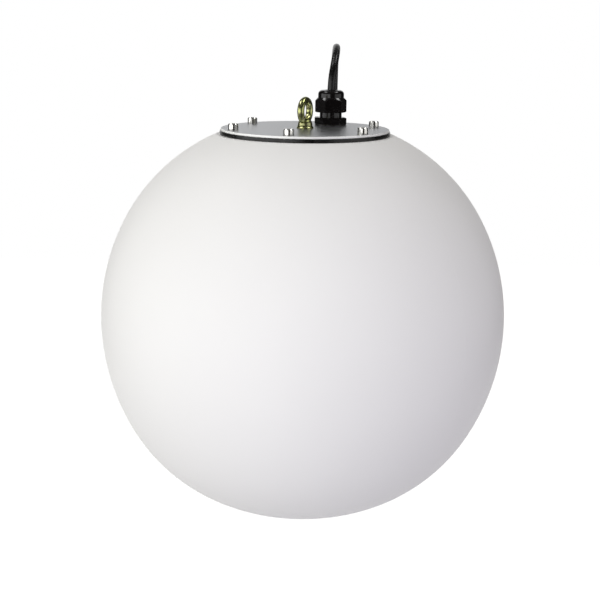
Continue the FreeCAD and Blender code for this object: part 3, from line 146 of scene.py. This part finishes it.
def feed(shader, **shades):
    """Links shades to the shader's sockets; an underscore in a name stands for a space."""
    for name, shade in shades.items():
        tree = shader.id_data
        tree.links.new(shade.socket, shader.inputs[name.replace("_", " ")])


def rubber_finish(name, colour, dusty):
    """Matt rubber: talc in faint patches and the fine drag lines of the extruder's die."""
    material, shader, place = new_finish(name, {"Specular IOR Level": 0.35})
    dust = place.noise(160, 4).clear(0.42, 0.75)
    fine = place.noise(2600, 2)
    feed(shader, Base_Color=dust.between(colour, dusty),
         Roughness=0.22 + 0.2 * dust + 0.06 * fine,
         Normal=(fine + 2 * place.noise(420, 3)).relief(0.00006))
    return material


def cord_curve(name, points, diameter, material):
    """A round cord along a smooth spline: each run between two points touches the curve."""
    curve = bpy.data.curves.new(name, "CURVE")
    curve.dimensions = "3D"
    curve.bevel_depth, curve.bevel_resolution, curve.use_fill_caps = diameter / 2, 7, True
    curve.resolution_u = 10
    spline = curve.splines.new("NURBS")
    spline.points.add(len(points) - 1)
    spline.points.foreach_set("co", np.column_stack([points, np.ones(len(points))]).ravel())
    spline.order_u, spline.use_endpoint_u = 3, True
    curve.materials.append(material)
    piece = bpy.data.objects.new(name, curve)
    bpy.context.scene.collection.objects.link(piece)
    return piece


cord_thickness = 0.0066
gland_mouth = np.array([0.0223, 0.034, 0.0155])
hanging_run = gland_mouth + np.array([
    (0, 0, 0), (0.3, 0, 9.5), (2.6, 5.9, 22.8), (4.4, 17.7, 31.6), (5, 37.8, 37),
    (4.9, 66, 29.3), (4.9, 84, 13.3), (5.2, 95, -17), (6, 105, -51), (8, 120, -90),
    (10, 140, -130), (10, 154, -168), (3, 158, -198), (-21, 158, -218)]) / 1000

# the coil: 4 1/4 turns that spiral in on the front layer and out again on the back one
coil_middle = np.array([-0.0297, 0.192, -0.2465])
coil_radius, coil_pitch, coil_turns, points_per_turn = 0.044, 0.0071, 4.25, 16
turn = (np.arange(coil_turns * points_per_turn) + 0.5) / points_per_turn
around = math.pi / 2 + 2 * math.pi * turn
reach = coil_radius - coil_pitch * np.minimum(turn, coil_turns - turn)
reach /= math.cos(math.pi / points_per_turn)
layer = coil_pitch * np.clip((turn - (coil_turns - 0.5) / 2) / 0.5, 0, 1)
coil_run = coil_middle + np.column_stack(
    [reach * np.cos(around), layer, reach * np.sin(around)])
plug_entry = coil_middle + [-coil_radius, coil_pitch, -0.016]
end_run = plug_entry + np.array([(0, 0, 6), (0, 0, -1)]) / 1000

lead_rubber = rubber_finish("lead_rubber", (0.004, 0.004, 0.004, 1), (0.010, 0.010, 0.010, 1))
lead = cord_curve("lead", np.vstack([hanging_run, coil_run, end_run]), cord_thickness,
                  lead_rubber)
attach(lead, "light")
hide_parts("mains_lead", "lead_coil", "lead_end")


# ---------------------------------------------------------------- the lead inside the lid
# The same lead runs straight down through the gland and ends below its thread, where the
# sheath is cut back. Three coloured cores go on to the lampholder and to the earth stud.
def add_mesh(name, points, faces, material):
    """An object from rows of points and rows of four or three corners, with smooth faces."""
    mesh = bpy.data.meshes.new(name)
    mesh.from_pydata(points.tolist(), [], faces.tolist())
    mesh.polygons.foreach_set("use_smooth", np.ones(len(mesh.polygons), bool))
    mesh.materials.append(material)
    piece = bpy.data.objects.new(name, mesh)
    bpy.context.scene.collection.objects.link(piece)
    return piece


inner_lead = cord_curve("inner_lead", np.array([
    gland_mouth - [0, 0, 0.05], gland_mouth - [0, 0, 0.025], gland_mouth - [0, 0, 0.0002]]),
    cord_thickness, lead_rubber)
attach(inner_lead, "light")
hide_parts("lead_inside")


def core_finish(name, colour, second):
    """Glossy insulation; the earth core has a second colour in two stripes along it."""
    material, shader, place = new_finish(name, {"Coat Roughness": 0.2, "Coat Weight": 0.3})
    x, y, z = place.parts()
    stripe = ((x + y + 0.7 * z) * 1900).maths("SINE")
    feed(shader, Base_Color=stripe.clear(-0.1, 0.1).between(colour, second),
         Roughness=0.32 + 0.1 * place.noise(900),
         Normal=place.noise(1500, 3).relief(0.00003))
    return material


core_routes = {
    "live_core": ("core_brown", (0.13, 0.045, 0.02, 1), (0.13, 0.045, 0.02, 1), [
        (23.7, 33.2, -34.5), (23.7, 33.2, -43.5), (16.3, 17, -49.5), (1.35, 0, -49.5),
        (1.35, 0, -58), (1.35, 0, -84.8), (6.5, 0, -84.8)]),
    "neutral_core": ("core_blue", (0.02, 0.11, 0.42, 1), (0.02, 0.11, 0.42, 1), [
        (20.9, 33.2, -34.5), (20.9, 33.2, -42.5), (9.3, 17, -45.5), (-1.35, 0, -45.5),
        (-1.35, 0, -56), (-1.35, 0, -84.8), (-6.5, 0, -84.8)]),
    "earth_core": ("core_green_yellow", (0.06, 0.33, 0.05, 1), (0.75, 0.62, 0.03, 1), [
        (22.3, 35.6, -34.5), (22.3, 35.6, -41.5), (8.3, 36, -37.5), (0.3, 34, -18.4),
        (-10.9, 34, -18.4)]),
}
for node, (slot, colour, second, points) in core_routes.items():
    core = cord_curve(node + "_wire", np.array(points) / 1000, 0.0024,
                      core_finish(slot, colour, second))
    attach(core, "light")
    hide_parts(node)


# ---------------------------------------------------------------- the coil's strap
# A reusable hook-and-loop strap, 9 mm wide, is pulled round all the turns of the coil and
# pressed onto itself. It is woven polyamide with a brushed face and a heat-cut end.
def round_loop(low, high, corner, steps):
    """A loop round a rectangle: its outward direction turns evenly at each rounded corner,
    and a point is that corner's centre plus the corner's radius along the direction."""
    quarter = np.linspace(0, math.pi / 2, steps)
    heading = np.concatenate([quarter + k * math.pi / 2 for k in range(4)])
    centres = np.array([(high[0] - corner, high[1] - corner), (low[0] + corner, high[1] - corner),
                        (low[0] + corner, low[1] + corner), (high[0] - corner, low[1] + corner)])
    outward = np.column_stack([np.cos(heading), np.sin(heading)])
    return np.repeat(centres, steps, axis=0) + corner * outward, outward


def strap_band(name, line, outward, middle, width, thick, material):
    """A flat band carried along a line in the YZ plane: its section is a flat oval of four
    sides with rounded edges, set out along the line's outward direction and along X."""
    side = np.array([-0.5, -0.5, -0.44, 0.44, 0.5, 0.5, 0.44, -0.44]) * width
    lift = np.array([0.25, 0.75, 1.0, 1.0, 0.75, 0.25, 0.0, 0.0]) * thick
    yz = line[:, None, :] + lift[None, :, None] * outward[:, None, :]
    x = np.broadcast_to(middle + side, yz.shape[:2])
    points = np.concatenate([x[..., None], yz], axis=2)
    rows, ring = points.shape[:2]
    index = np.arange(rows * ring).reshape(rows, ring)
    here, there = index[:-1], index[1:]
    walls = np.stack([here, np.roll(here, -1, 1), np.roll(there, -1, 1), there], -1)
    piece = add_mesh(name, points.reshape(-1, 3), walls.reshape(-1, 4)[:, ::-1], material)
    mesh = piece.data
    work = bmesh.new()
    work.from_mesh(mesh)
    work.verts.ensure_lookup_table()
    work.faces.new([work.verts[k] for k in index[0]])
    work.faces.new([work.verts[k] for k in index[-1][::-1]])
    bmesh.ops.recalc_face_normals(work, faces=work.faces)
    work.to_mesh(mesh)
    work.free()
    return piece


strap_fabric, shader, place = new_finish("tie_fabric", {"Sheen Weight": 0.25})
x, y, z = place.parts()
weft = (x * 7800).maths("SINE")
warp = ((y + z) * 7800).maths("SINE")
fuzz = place.noise(3200, 3)
feed(shader, Base_Color=fuzz.between((0.012, 0.012, 0.013, 1), (0.05, 0.05, 0.053, 1)),
     Roughness=0.75 + 0.2 * fuzz, Normal=(weft * warp + 2 * fuzz).relief(0.0001))

loop, outward = round_loop((0.1876, -0.2250), (0.2035, -0.1989), 0.0036, 9)
start = 6                                   # the strap begins part way round a corner
loop, outward = np.roll(loop, -start, axis=0), np.roll(outward, -start, axis=0)
tail = np.linspace(0, 1, 15)[:, None]
loop = np.vstack([loop, loop[:15] + outward[:15] * 0.0013 * np.minimum(1, tail * 5)])
outward = np.vstack([outward, outward[:15]])
strap = strap_band("coil_strap", loop, outward, -0.0387, 0.009, 0.0011, strap_fabric)
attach(strap, "light")
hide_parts("coil_tie")


# ---------------------------------------------------------------- the plug
# A moulded rubber plug with a tapered, ribbed boot that keeps the lead from kinking, two
# nickel-plated pins, an earth socket and two springy earth clips let into its sides.
def dress(material, *names):
    """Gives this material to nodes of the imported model."""
    for name in names:
        for place_on_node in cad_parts[name].material_slots:
            place_on_node.material = material


def plated_finish(name, colour, stained, roughness, grain=0.00001):
    """Plated metal: cloudy stains in the plating, and fine scratches of handling."""
    material, shader, place = new_finish(name, {"Metallic": 1.0})
    cloud = place.noise(260, 4).clear(0.35, 0.7)
    fine = place.noise(2400, 3)
    feed(shader, Base_Color=cloud.between(colour, stained),
         Roughness=roughness + 0.10 * cloud + 0.06 * fine,
         Normal=(fine + place.noise(700, 2)).relief(grain))
    return material


plug_rubber = rubber_finish("plug_rubber", (0.005, 0.005, 0.005, 1), (0.013, 0.013, 0.014, 1))
nickel = plated_finish("nickel_plate", (0.72, 0.70, 0.66, 1), (0.60, 0.58, 0.53, 1), 0.16)
dress(plug_rubber, "plug_body")
dress(nickel, "plug_pins", "plug_earth_clips", "plug_earth_socket")


# ---------------------------------------------------------------- the globe
# One hollow moulding of opal white polyethylene, 350 mm across with a 3 mm wall. It is a
# little squarer than a ball, closes at the top in a flat rim with six bosses for the brass
# inserts, and shows a faint line where the two halves of its mould met.
globe_middle = -0.1785
globe_radius, upper_arc, lower_arc, globe_wall = 0.175, 0.183, 0.190, 0.003
rim_rise, rim_thickness, rim_round, opening_radius = 0.159, 0.005, 0.0025, 0.0545


def globe_arcs(inset):
    """The outline as arcs (first and last direction from the top, centre across and up,
    radius): flat, round and flat arcs for the upper and for the lower quarter, each with
    its radius less by inset, so that the wall is the same all over."""
    arcs = []
    for arc, way in ((upper_arc, 1), (lower_arc, -1)):
        shift = arc - globe_radius
        draw = shift / (math.cos(math.radians(30)) - 0.5)
        corner = (draw * 0.5, way * draw * 0.5, arc - draw)
        spans = [(0, 30, 0, -way * shift, arc), (30, 60, *corner), (60, 90, -shift, 0, arc)]
        if way < 0:
            spans = [(180 - b, 180 - a, *rest) for a, b, *rest in reversed(spans)]
        arcs += [(a, b, across, up, radius - inset) for a, b, across, up, radius in spans]
    return arcs


def along_arcs(arcs, step):
    """Points of the arcs: centre plus radius along a direction that turns from first to last."""
    lines = []
    for first, last, across, up, radius in arcs:
        count = max(3, int(round(abs(last - first) / step)) + 1)
        way = np.radians(np.linspace(first, last, count))
        lines.append(np.column_stack([across + radius * np.sin(way), up + radius * np.cos(way)]))
    line = np.vstack(lines)
    keep = np.r_[True, np.linalg.norm(np.diff(line, axis=0), axis=1) > 1e-7]
    return line[keep]


def turned_surface(profile, angles):
    """The profile (across, up) turned about Z: point = (across sin a, -across cos a, up) for
    each angle a from the front. Gives the points and the faces of a closed ring of columns."""
    across, up = profile[:, 0], profile[:, 1]
    points = np.stack([across[None] * np.sin(angles)[:, None],
                       -across[None] * np.cos(angles)[:, None],
                       np.broadcast_to(up, (len(angles), len(up)))], -1)
    index = np.arange(len(angles) * len(up)).reshape(len(angles), len(up))
    beside = np.roll(index, -1, 0)
    faces = np.stack([index[:, :-1], index[:, 1:], beside[:, 1:], beside[:, :-1]], -1)
    return points.reshape(-1, 3), faces.reshape(-1, 4)


outer, inner = globe_arcs(0), globe_arcs(globe_wall)
fillet_up = rim_rise - rim_round
fillet_across = math.sqrt((upper_arc - rim_round) ** 2
                          - (fillet_up + upper_arc - globe_radius) ** 2)
rim_way = math.degrees(math.asin(fillet_across / (upper_arc - rim_round)))
outer[0] = (rim_way, *outer[0][1:])
under_up = rim_rise - rim_thickness
under_way = math.degrees(math.acos((under_up + upper_arc - globe_radius)
                                   / (upper_arc - globe_wall)))
inner[0] = (under_way, *inner[0][1:])
profile = np.vstack([
    [(opening_radius, under_up), (opening_radius, under_up + 0.0005),
     (opening_radius, rim_rise - 0.0008), (opening_radius + 0.0002, rim_rise - 0.0002),
     (opening_radius + 0.0008, rim_rise)],
    np.column_stack([np.linspace(opening_radius + 0.003, fillet_across - 0.001, 8),
                     np.full(8, rim_rise)]),
    along_arcs([(0, rim_way, fillet_across, fillet_up, rim_round)], 4),
    along_arcs(outer, 1.5)[1:-1],
    [(0.00002, outer[-1][3] - outer[-1][4])],
    [(0.00002, inner[-1][3] - inner[-1][4])],
    along_arcs(inner, 3)[::-1][1:],
    np.column_stack([np.linspace(math.sin(math.radians(under_way)) * (upper_arc - globe_wall)
                                 - 0.001, opening_radius + 0.0005, 5), np.full(5, under_up)]),
])
seam_way = math.radians(46)                 # the mould's joint, from the front towards +X
seam_height, seam_width = 0.00009, 0.0007
rim_points, underside_points = 20, 6        # rows of the profile that the joint leaves out
fine = np.radians([-0.6, -0.45, -0.3, -0.15, 0, 0.15, 0.3, 0.45, 0.6])
even = np.radians(np.arange(0, 360, 1.5))
apart = np.abs((even[:, None] - np.array([seam_way, seam_way + math.pi]) + math.pi)
               % (2 * math.pi) - math.pi).min(1)
angles = np.sort(np.concatenate([even[apart > np.radians(0.9)], seam_way + fine,
                                 seam_way + math.pi + fine]))
points, faces = turned_surface(profile, angles)
off_seam = points[:, 0] * math.cos(seam_way) + points[:, 1] * math.sin(seam_way)
row = np.arange(len(points)) % len(profile)
last_outside = len(profile) - len(along_arcs(inner, 3)) - underside_points
outside = (row > rim_points) & (row < last_outside)
ridge = seam_height * np.exp(-(off_seam / seam_width) ** 2) * outside
from_middle = np.linalg.norm(points, axis=1, keepdims=True)
points = points * (1 + ridge[:, None] / np.maximum(from_middle, 1e-6))
first_row = np.arange(len(angles)) * len(profile)
last_row = first_row + len(profile) - 1
opening_wall = np.column_stack([last_row, first_row, np.roll(first_row, -1),
                                np.roll(last_row, -1)])

opal, shader, place = new_finish("opal_globe", {"IOR": 1.5, "Specular IOR Level": 0.12})
peel = place.noise(420, 3)
cloud = place.noise(14, 2)
feed(shader, Base_Color=cloud.between((0.905, 0.895, 0.91, 1), (0.925, 0.915, 0.93, 1)),
     Roughness=0.42 + 0.1 * peel, Normal=peel.relief(0.00003))

# the six bosses under the rim: each holds an insert and has room below it for a screw's tip
boss = np.array([
    (0.01, -15), (5.5, -15), (6.2, -14.7), (6.5, -14.0), (6.5, -4.2), (3.7, -4.2), (3.7, -10.05),
    (2.8, -10.1), (2.8, -13.4), (0.01, -13.5)]) / 1000
boss_points, boss_faces = turned_surface(boss, np.radians(np.arange(0, 360, 10)))
screw_circle, screw_turn = 0.0623, -11.8    # the first screw in degrees from the front
shells, walls = [points], [faces, opening_wall]
for way in np.radians(screw_turn + 60 * np.arange(6)):
    middle = [screw_circle * math.sin(way), -screw_circle * math.cos(way), rim_rise]
    walls.append(boss_faces + sum(map(len, shells)))
    shells.append(boss_points + middle)
globe = add_mesh("globe", np.vstack(shells) + [0, 0, globe_middle], np.vstack(walls), opal)
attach(globe, "light")
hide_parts("globe_shell")


# ---------------------------------------------------------------- the lid
# A 142 mm disc of 2 mm aluminium, satin anodised on top with a bare turned edge, sits on a
# black rubber gasket that shows as a dark line under it. The near-white, barely metallic colour
# of that edge is a painted highlight. Six M5 cap screws hold it down.
lid_radius = 0.071
lid_metal, shader, place = new_finish("lid_aluminium", {})
x, y, z = place.parts()
# painted highlight: the lid's outer half millimetre turns near-white and barely metallic
edge = (x * x + y * y).maths("SQRT").clear(lid_radius - 0.0005, lid_radius - 0.0002)
cloud = place.noise(45, 4)
brush = place.noise(900, 3, (1, 0.03, 1))
feed(shader, Base_Color=edge.between(cloud.between((0.41, 0.42, 0.44, 1), (0.50, 0.51, 0.53, 1)),
                                     (0.9, 0.9, 0.9, 1)),
     Roughness=0.34 + 0.08 * cloud + 0.16 * edge, Metallic=1 - 0.85 * edge,
     Normal=brush.relief(0.000004))
dress(lid_metal, "top_plate")

gasket_rubber = rubber_finish("gasket_rubber", (0.003, 0.003, 0.003, 1), (0.007, 0.007, 0.007, 1))
dress(gasket_rubber, "plate_gasket")
steel = plated_finish("stainless", (0.76, 0.75, 0.71, 1), (0.62, 0.61, 0.58, 1), 0.08)
dress(steel, "plate_screws")
brass = plated_finish("brass", (0.70, 0.50, 0.20, 1), (0.55, 0.37, 0.14, 1), 0.25)
dress(brass, "rim_inserts")


# ---------------------------------------------------------------- the eye bolt
# A forged M8 eye bolt, zinc plated and passivated yellow, stands on the middle of the lid.
# Its collar rests on the plate, and a washer and a locking nut hold it from below. The plane
# of its ring is turned away from the front, so that it shows as a narrow oval.
yellow_zinc, shader, place = new_finish("yellow_zinc", {"Metallic": 1.0})
cloud = place.noise(150, 4).clear(0.35, 0.68)
patch = place.noise(330, 3).clear(0.5, 0.75)
olive = cloud.between((0.36, 0.38, 0.15, 1), (0.60, 0.60, 0.30, 1))
feed(shader, Base_Color=patch.between(olive, (0.46, 0.40, 0.26, 1)),
     Roughness=0.22 + 0.08 * cloud, Normal=place.noise(1100, 3).relief(0.000008))

eye_ring, eye_section, eye_land = 0.0087, 0.003, 0.0058
eye_foot, eye_turn = -0.0145, math.radians(65)


def ring_surface(sides, around):
    """The eye: a round section carried round the X-Z plane, its inner edge trimmed flat:
    point = max(ring + section cos b, land) (cos a, 0, sin a) + (0, section sin b, 0)."""
    b = np.arange(sides) * 2 * math.pi / sides
    a = np.arange(around) * 2 * math.pi / around
    reach = np.maximum(eye_ring + eye_section * np.cos(b), eye_land)
    points = np.stack([np.outer(np.cos(a), reach),
                       np.broadcast_to(eye_section * np.sin(b), (around, sides)),
                       np.outer(np.sin(a), reach)], -1)
    index = np.arange(around * sides).reshape(around, sides)
    beside, above = np.roll(index, -1, 0), np.roll(index, -1, 1)
    faces = np.stack([index, above, np.roll(above, -1, 0), beside], -1)
    return points.reshape(-1, 3), faces.reshape(-1, 4)


# the forged foot spreads from the ring in a steep cone to a round collar over the M8 shank
foot = np.array([
    (0.0, -15), (3.2, -15), (4.0, -14.2), (4.0, -0.4), (4.0, 0.0), (6.9, 0.0), (7.1, 0.2),
    (7.1, 0.9), (6.95, 1.15), (6.7, 1.3), (6.45, 1.9), (6.2, 2.8), (5.95, 4.0), (5.7, 5.2),
    (5.3, 6.2), (4.6, 6.9), (3.4, 7.3), (0.0, 7.4)]) / 1000 + [0, eye_foot]
foot[0, 0] = foot[-1, 0] = 0.00001
foot_points, foot_faces = turned_surface(foot, np.radians(np.arange(0, 360, 6)))
ring_points, ring_faces = ring_surface(40, 96)
points = np.vstack([ring_points, foot_points])
turned = np.array([(math.cos(eye_turn), math.sin(eye_turn), 0),
                   (-math.sin(eye_turn), math.cos(eye_turn), 0), (0, 0, 1)])
eye = add_mesh("eye", points @ turned, np.vstack([ring_faces, foot_faces + len(ring_points)]),
               yellow_zinc)
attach(eye, "light")
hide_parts("eye_bolt")

zinc = plated_finish("zinc_steel", (0.60, 0.61, 0.62, 1), (0.47, 0.48, 0.50, 1), 0.28)
dress(zinc, "eye_washer", "eye_nut")


# ---------------------------------------------------------------- the cable gland
# A black polyamide M20 gland clamps the lead: a hexagon body on a sealing washer, a rubber
# seal inside, and a domed nut with its own hexagon that is screwed down by hand.
nylon, shader, place = new_finish("gland_nylon", {"Specular IOR Level": 0.4})
mould = place.noise(700, 3)
feed(shader, Base_Color=mould.between((0.003, 0.002, 0.002, 1), (0.006, 0.005, 0.005, 1)),
     Roughness=0.12 + 0.08 * mould, Normal=mould.relief(0.00002))
dress(nylon, "gland_body", "gland_dome_nut", "gland_lock_nut")
seal_rubber = rubber_finish("sealing_rubber", (0.012, 0.012, 0.012, 1), (0.03, 0.03, 0.03, 1))
dress(seal_rubber, "gland_washer", "gland_rubber")


# ---------------------------------------------------------------- the lampholder
# A zinc-plated stirrup under the lid, on two weld studs, carries the lampholder by a hollow
# thread. The holder is a moulded cap and skirt round a ceramic core with a brass sleeve.
dress(zinc, "lamp_stirrup", "plate_studs", "stud_nuts", "stirrup_nipple", "nipple_nuts",
      "terminal_screws")
dress(brass, "thread_sleeve", "contact_spring", "holder_terminals")
tin = plated_finish("tinned_copper", (0.66, 0.65, 0.62, 1), (0.55, 0.53, 0.5, 1), 0.3)
dress(tin, "earth_lug")


def plastic_finish(name, colour, faded, roughness, fixed):
    """Moulded plastic: a slight fading in clouds, and the fine grain of its mould."""
    material, shader, place = new_finish(name, fixed)
    grain = place.noise(1500, 3)
    feed(shader, Base_Color=place.noise(90, 2).between(colour, faded),
         Roughness=roughness + 0.12 * grain, Normal=grain.relief(0.00004))
    return material


holder_plastic = plastic_finish("holder_plastic", (0.015, 0.015, 0.015, 1),
                                (0.03, 0.029, 0.028, 1), 0.3, {})
ceramic = plastic_finish("holder_ceramic", (0.80, 0.78, 0.73, 1), (0.85, 0.83, 0.79, 1), 0.18,
                         {"Coat Weight": 0.3, "Coat Roughness": 0.1})
dress(holder_plastic, "lampholder_cap", "lampholder_skirt")
dress(ceramic, "lampholder_core")


# ---------------------------------------------------------------- the lamp
# A warm white lamp with a nickel-plated screw cap, a white plastic housing over its driver
# and an opal bulb in front of a round board with eight chips.
dress(nickel, "lamp_screw_cap", "lamp_contact")
dress(plastic_finish("lamp_black_glass", (0.01, 0.01, 0.012, 1), (0.02, 0.02, 0.02, 1), 0.08,
                     {"Coat Weight": 0.5}), "lamp_insulator")
dress(plastic_finish("lamp_white_plastic", (0.82, 0.82, 0.80, 1), (0.86, 0.86, 0.85, 1), 0.35,
                     {}), "lamp_housing")
dress(plastic_finish("lamp_opal", (0.88, 0.87, 0.84, 1), (0.91, 0.90, 0.88, 1), 0.3,
                     {"Subsurface Weight": 0.2, "Subsurface Scale": 0.004}), "lamp_bulb")
dress(plastic_finish("board_white", (0.78, 0.78, 0.76, 1), (0.83, 0.83, 0.82, 1), 0.3, {}),
      "led_board")
dress(plastic_finish("led_phosphor", (0.85, 0.66, 0.12, 1), (0.88, 0.70, 0.18, 1), 0.4, {}),
      "led_chips")
dress(plastic_finish("board_green", (0.02, 0.16, 0.06, 1), (0.03, 0.20, 0.08, 1), 0.3, {}),
      "driver_board")
dress(plastic_finish("driver_black", (0.02, 0.02, 0.02, 1), (0.05, 0.05, 0.05, 1), 0.35, {}),
      "driver_parts")


# ---------------------------------------------------------------- the studio
# A white room: a large soft lamp stands to the left in front, a weaker one low on the right,
# and even light comes from everywhere else. The floor lies far below, so the light hangs free.
floor_paper = bpy.data.materials.new("floor_paper")
floor_paper.use_nodes = True
tree = floor_paper.node_tree
tree.nodes.clear()
paths = tree.nodes.new("ShaderNodeLightPath")
seen = (Shade(paths.outputs["Is Camera Ray"]) + Shade(paths.outputs["Is Glossy Ray"])
        + Shade(paths.outputs["Is Transmission Ray"])).clear(0, 1)
paper = seen.node("BsdfDiffuse", {}, {"Color": (0.42, 0.42, 0.42, 1)})
white = seen.node("Emission", {}, {"Color": (1, 1, 1, 1), "Strength": seen * 0.85})
both = seen.node("AddShader", {}, {0: paper, 1: white})
output = tree.nodes.new("ShaderNodeOutputMaterial")
tree.links.new(both.socket, output.inputs["Surface"])
floor_side, floor_front, floor_back, floor_height = 2.5, -1, 6, -1.5
floor = add_mesh("floor", np.array([
    (-floor_side, floor_front, floor_height), (floor_side, floor_front, floor_height),
    (floor_side, floor_back, floor_height), (-floor_side, floor_back, floor_height)]),
    np.array([(0, 1, 2, 3)]), floor_paper)

# what shiny surfaces mirror: white behind the light, a pale panel at each side in front of it,
# two bright windows overhead, and dark between them
world = bpy.data.worlds.new("white_room")
bpy.context.scene.world = world
world.use_nodes = True
tree = world.node_tree
tree.nodes.clear()
paths = tree.nodes.new("ShaderNodeLightPath")
mirrored = Shade(paths.outputs["Is Glossy Ray"])
seen = (Shade(paths.outputs["Is Camera Ray"]) + mirrored
        + Shade(paths.outputs["Is Transmission Ray"])).clear(0, 1)
x, y, z = Shade(tree.nodes.new("ShaderNodeTexCoord").outputs["Generated"]).parts()
bearing = x.maths("ARCTAN2", 0 - y)         # from the front towards +X
behind = (bearing.maths("ABSOLUTE").clear(2.62, 2.8) * (1 - z.clear(0.45, 0.65))
          * (1 - 0.2 * x.clear(-0.1, 0.1)))
panels = (bearing.clear(-1.72, -1.64) * (1 - bearing.clear(-0.2, -0.13))
          + 0.5 * bearing.clear(0.56, 0.63) * (1 - bearing.clear(1.64, 1.72)))
window = (z.clear(0.79, 0.81) * (1 - z.clear(0.89, 0.91))
          * (1 - y.maths("ABSOLUTE").clear(0.2, 0.25)))
unlit = mirrored * (1 - behind - 0.1 * z.clear(0.65, 0.75))
lit = mirrored * (0.26 * panels * (1 - z.clear(0.2, 0.4)) + window)
fill = seen.node("Background", {}, {"Color": (1.0, 0.987, 0.932, 1), "Strength": 0.546})
white = seen.node("Background", {}, {"Color": (1, 1, 1, 1), "Strength": 1.0})
dark = seen.node("Background", {}, {"Color": (1, 1, 1, 1), "Strength": 0.03})
bright = seen.node("Background", {}, {"Color": (1, 1, 1, 1), "Strength": 8.0})
shown = seen.node("MixShader", {}, {0: unlit, 1: white, 2: dark})
shown = seen.node("MixShader", {}, {0: lit, 1: shown, 2: bright})
room = seen.node("MixShader", {}, {0: seen, 1: fill, 2: shown})
output = tree.nodes.new("ShaderNodeOutputWorld")
tree.links.new(room.socket, output.inputs["Surface"])


def soft_lamp(name, size, energy, colour, azimuth, height, away):
    """A square lamp aimed at the globe's middle: azimuth from the front towards +X and
    height above the level, both in degrees, and how far away it stands."""
    light = bpy.data.lights.new(name, "AREA")
    light.shape, light.size, light.energy, light.color = "SQUARE", size, energy, colour
    lamp = bpy.data.objects.new(name, light)
    bpy.context.scene.collection.objects.link(lamp)
    turn, lift = math.radians(azimuth), math.radians(height)
    lamp.location = (away * math.cos(lift) * math.sin(turn),
                     -away * math.cos(lift) * math.cos(turn),
                     globe_middle + away * math.sin(lift))
    lamp.rotation_euler = (math.pi / 2 - lift, 0, turn)
    lamp.visible_camera = lamp.visible_glossy = False
    return lamp


soft_lamp("key_lamp", 2.6, 30.5, (0.981, 1.0, 0.978), -37.6, 13, 2.2)
soft_lamp("side_lamp", 2.6, 5.9, (0.51, 0.44, 1.0), 35, -15, 2.2)

bpy.context.scene.view_settings.view_transform = "Standard"
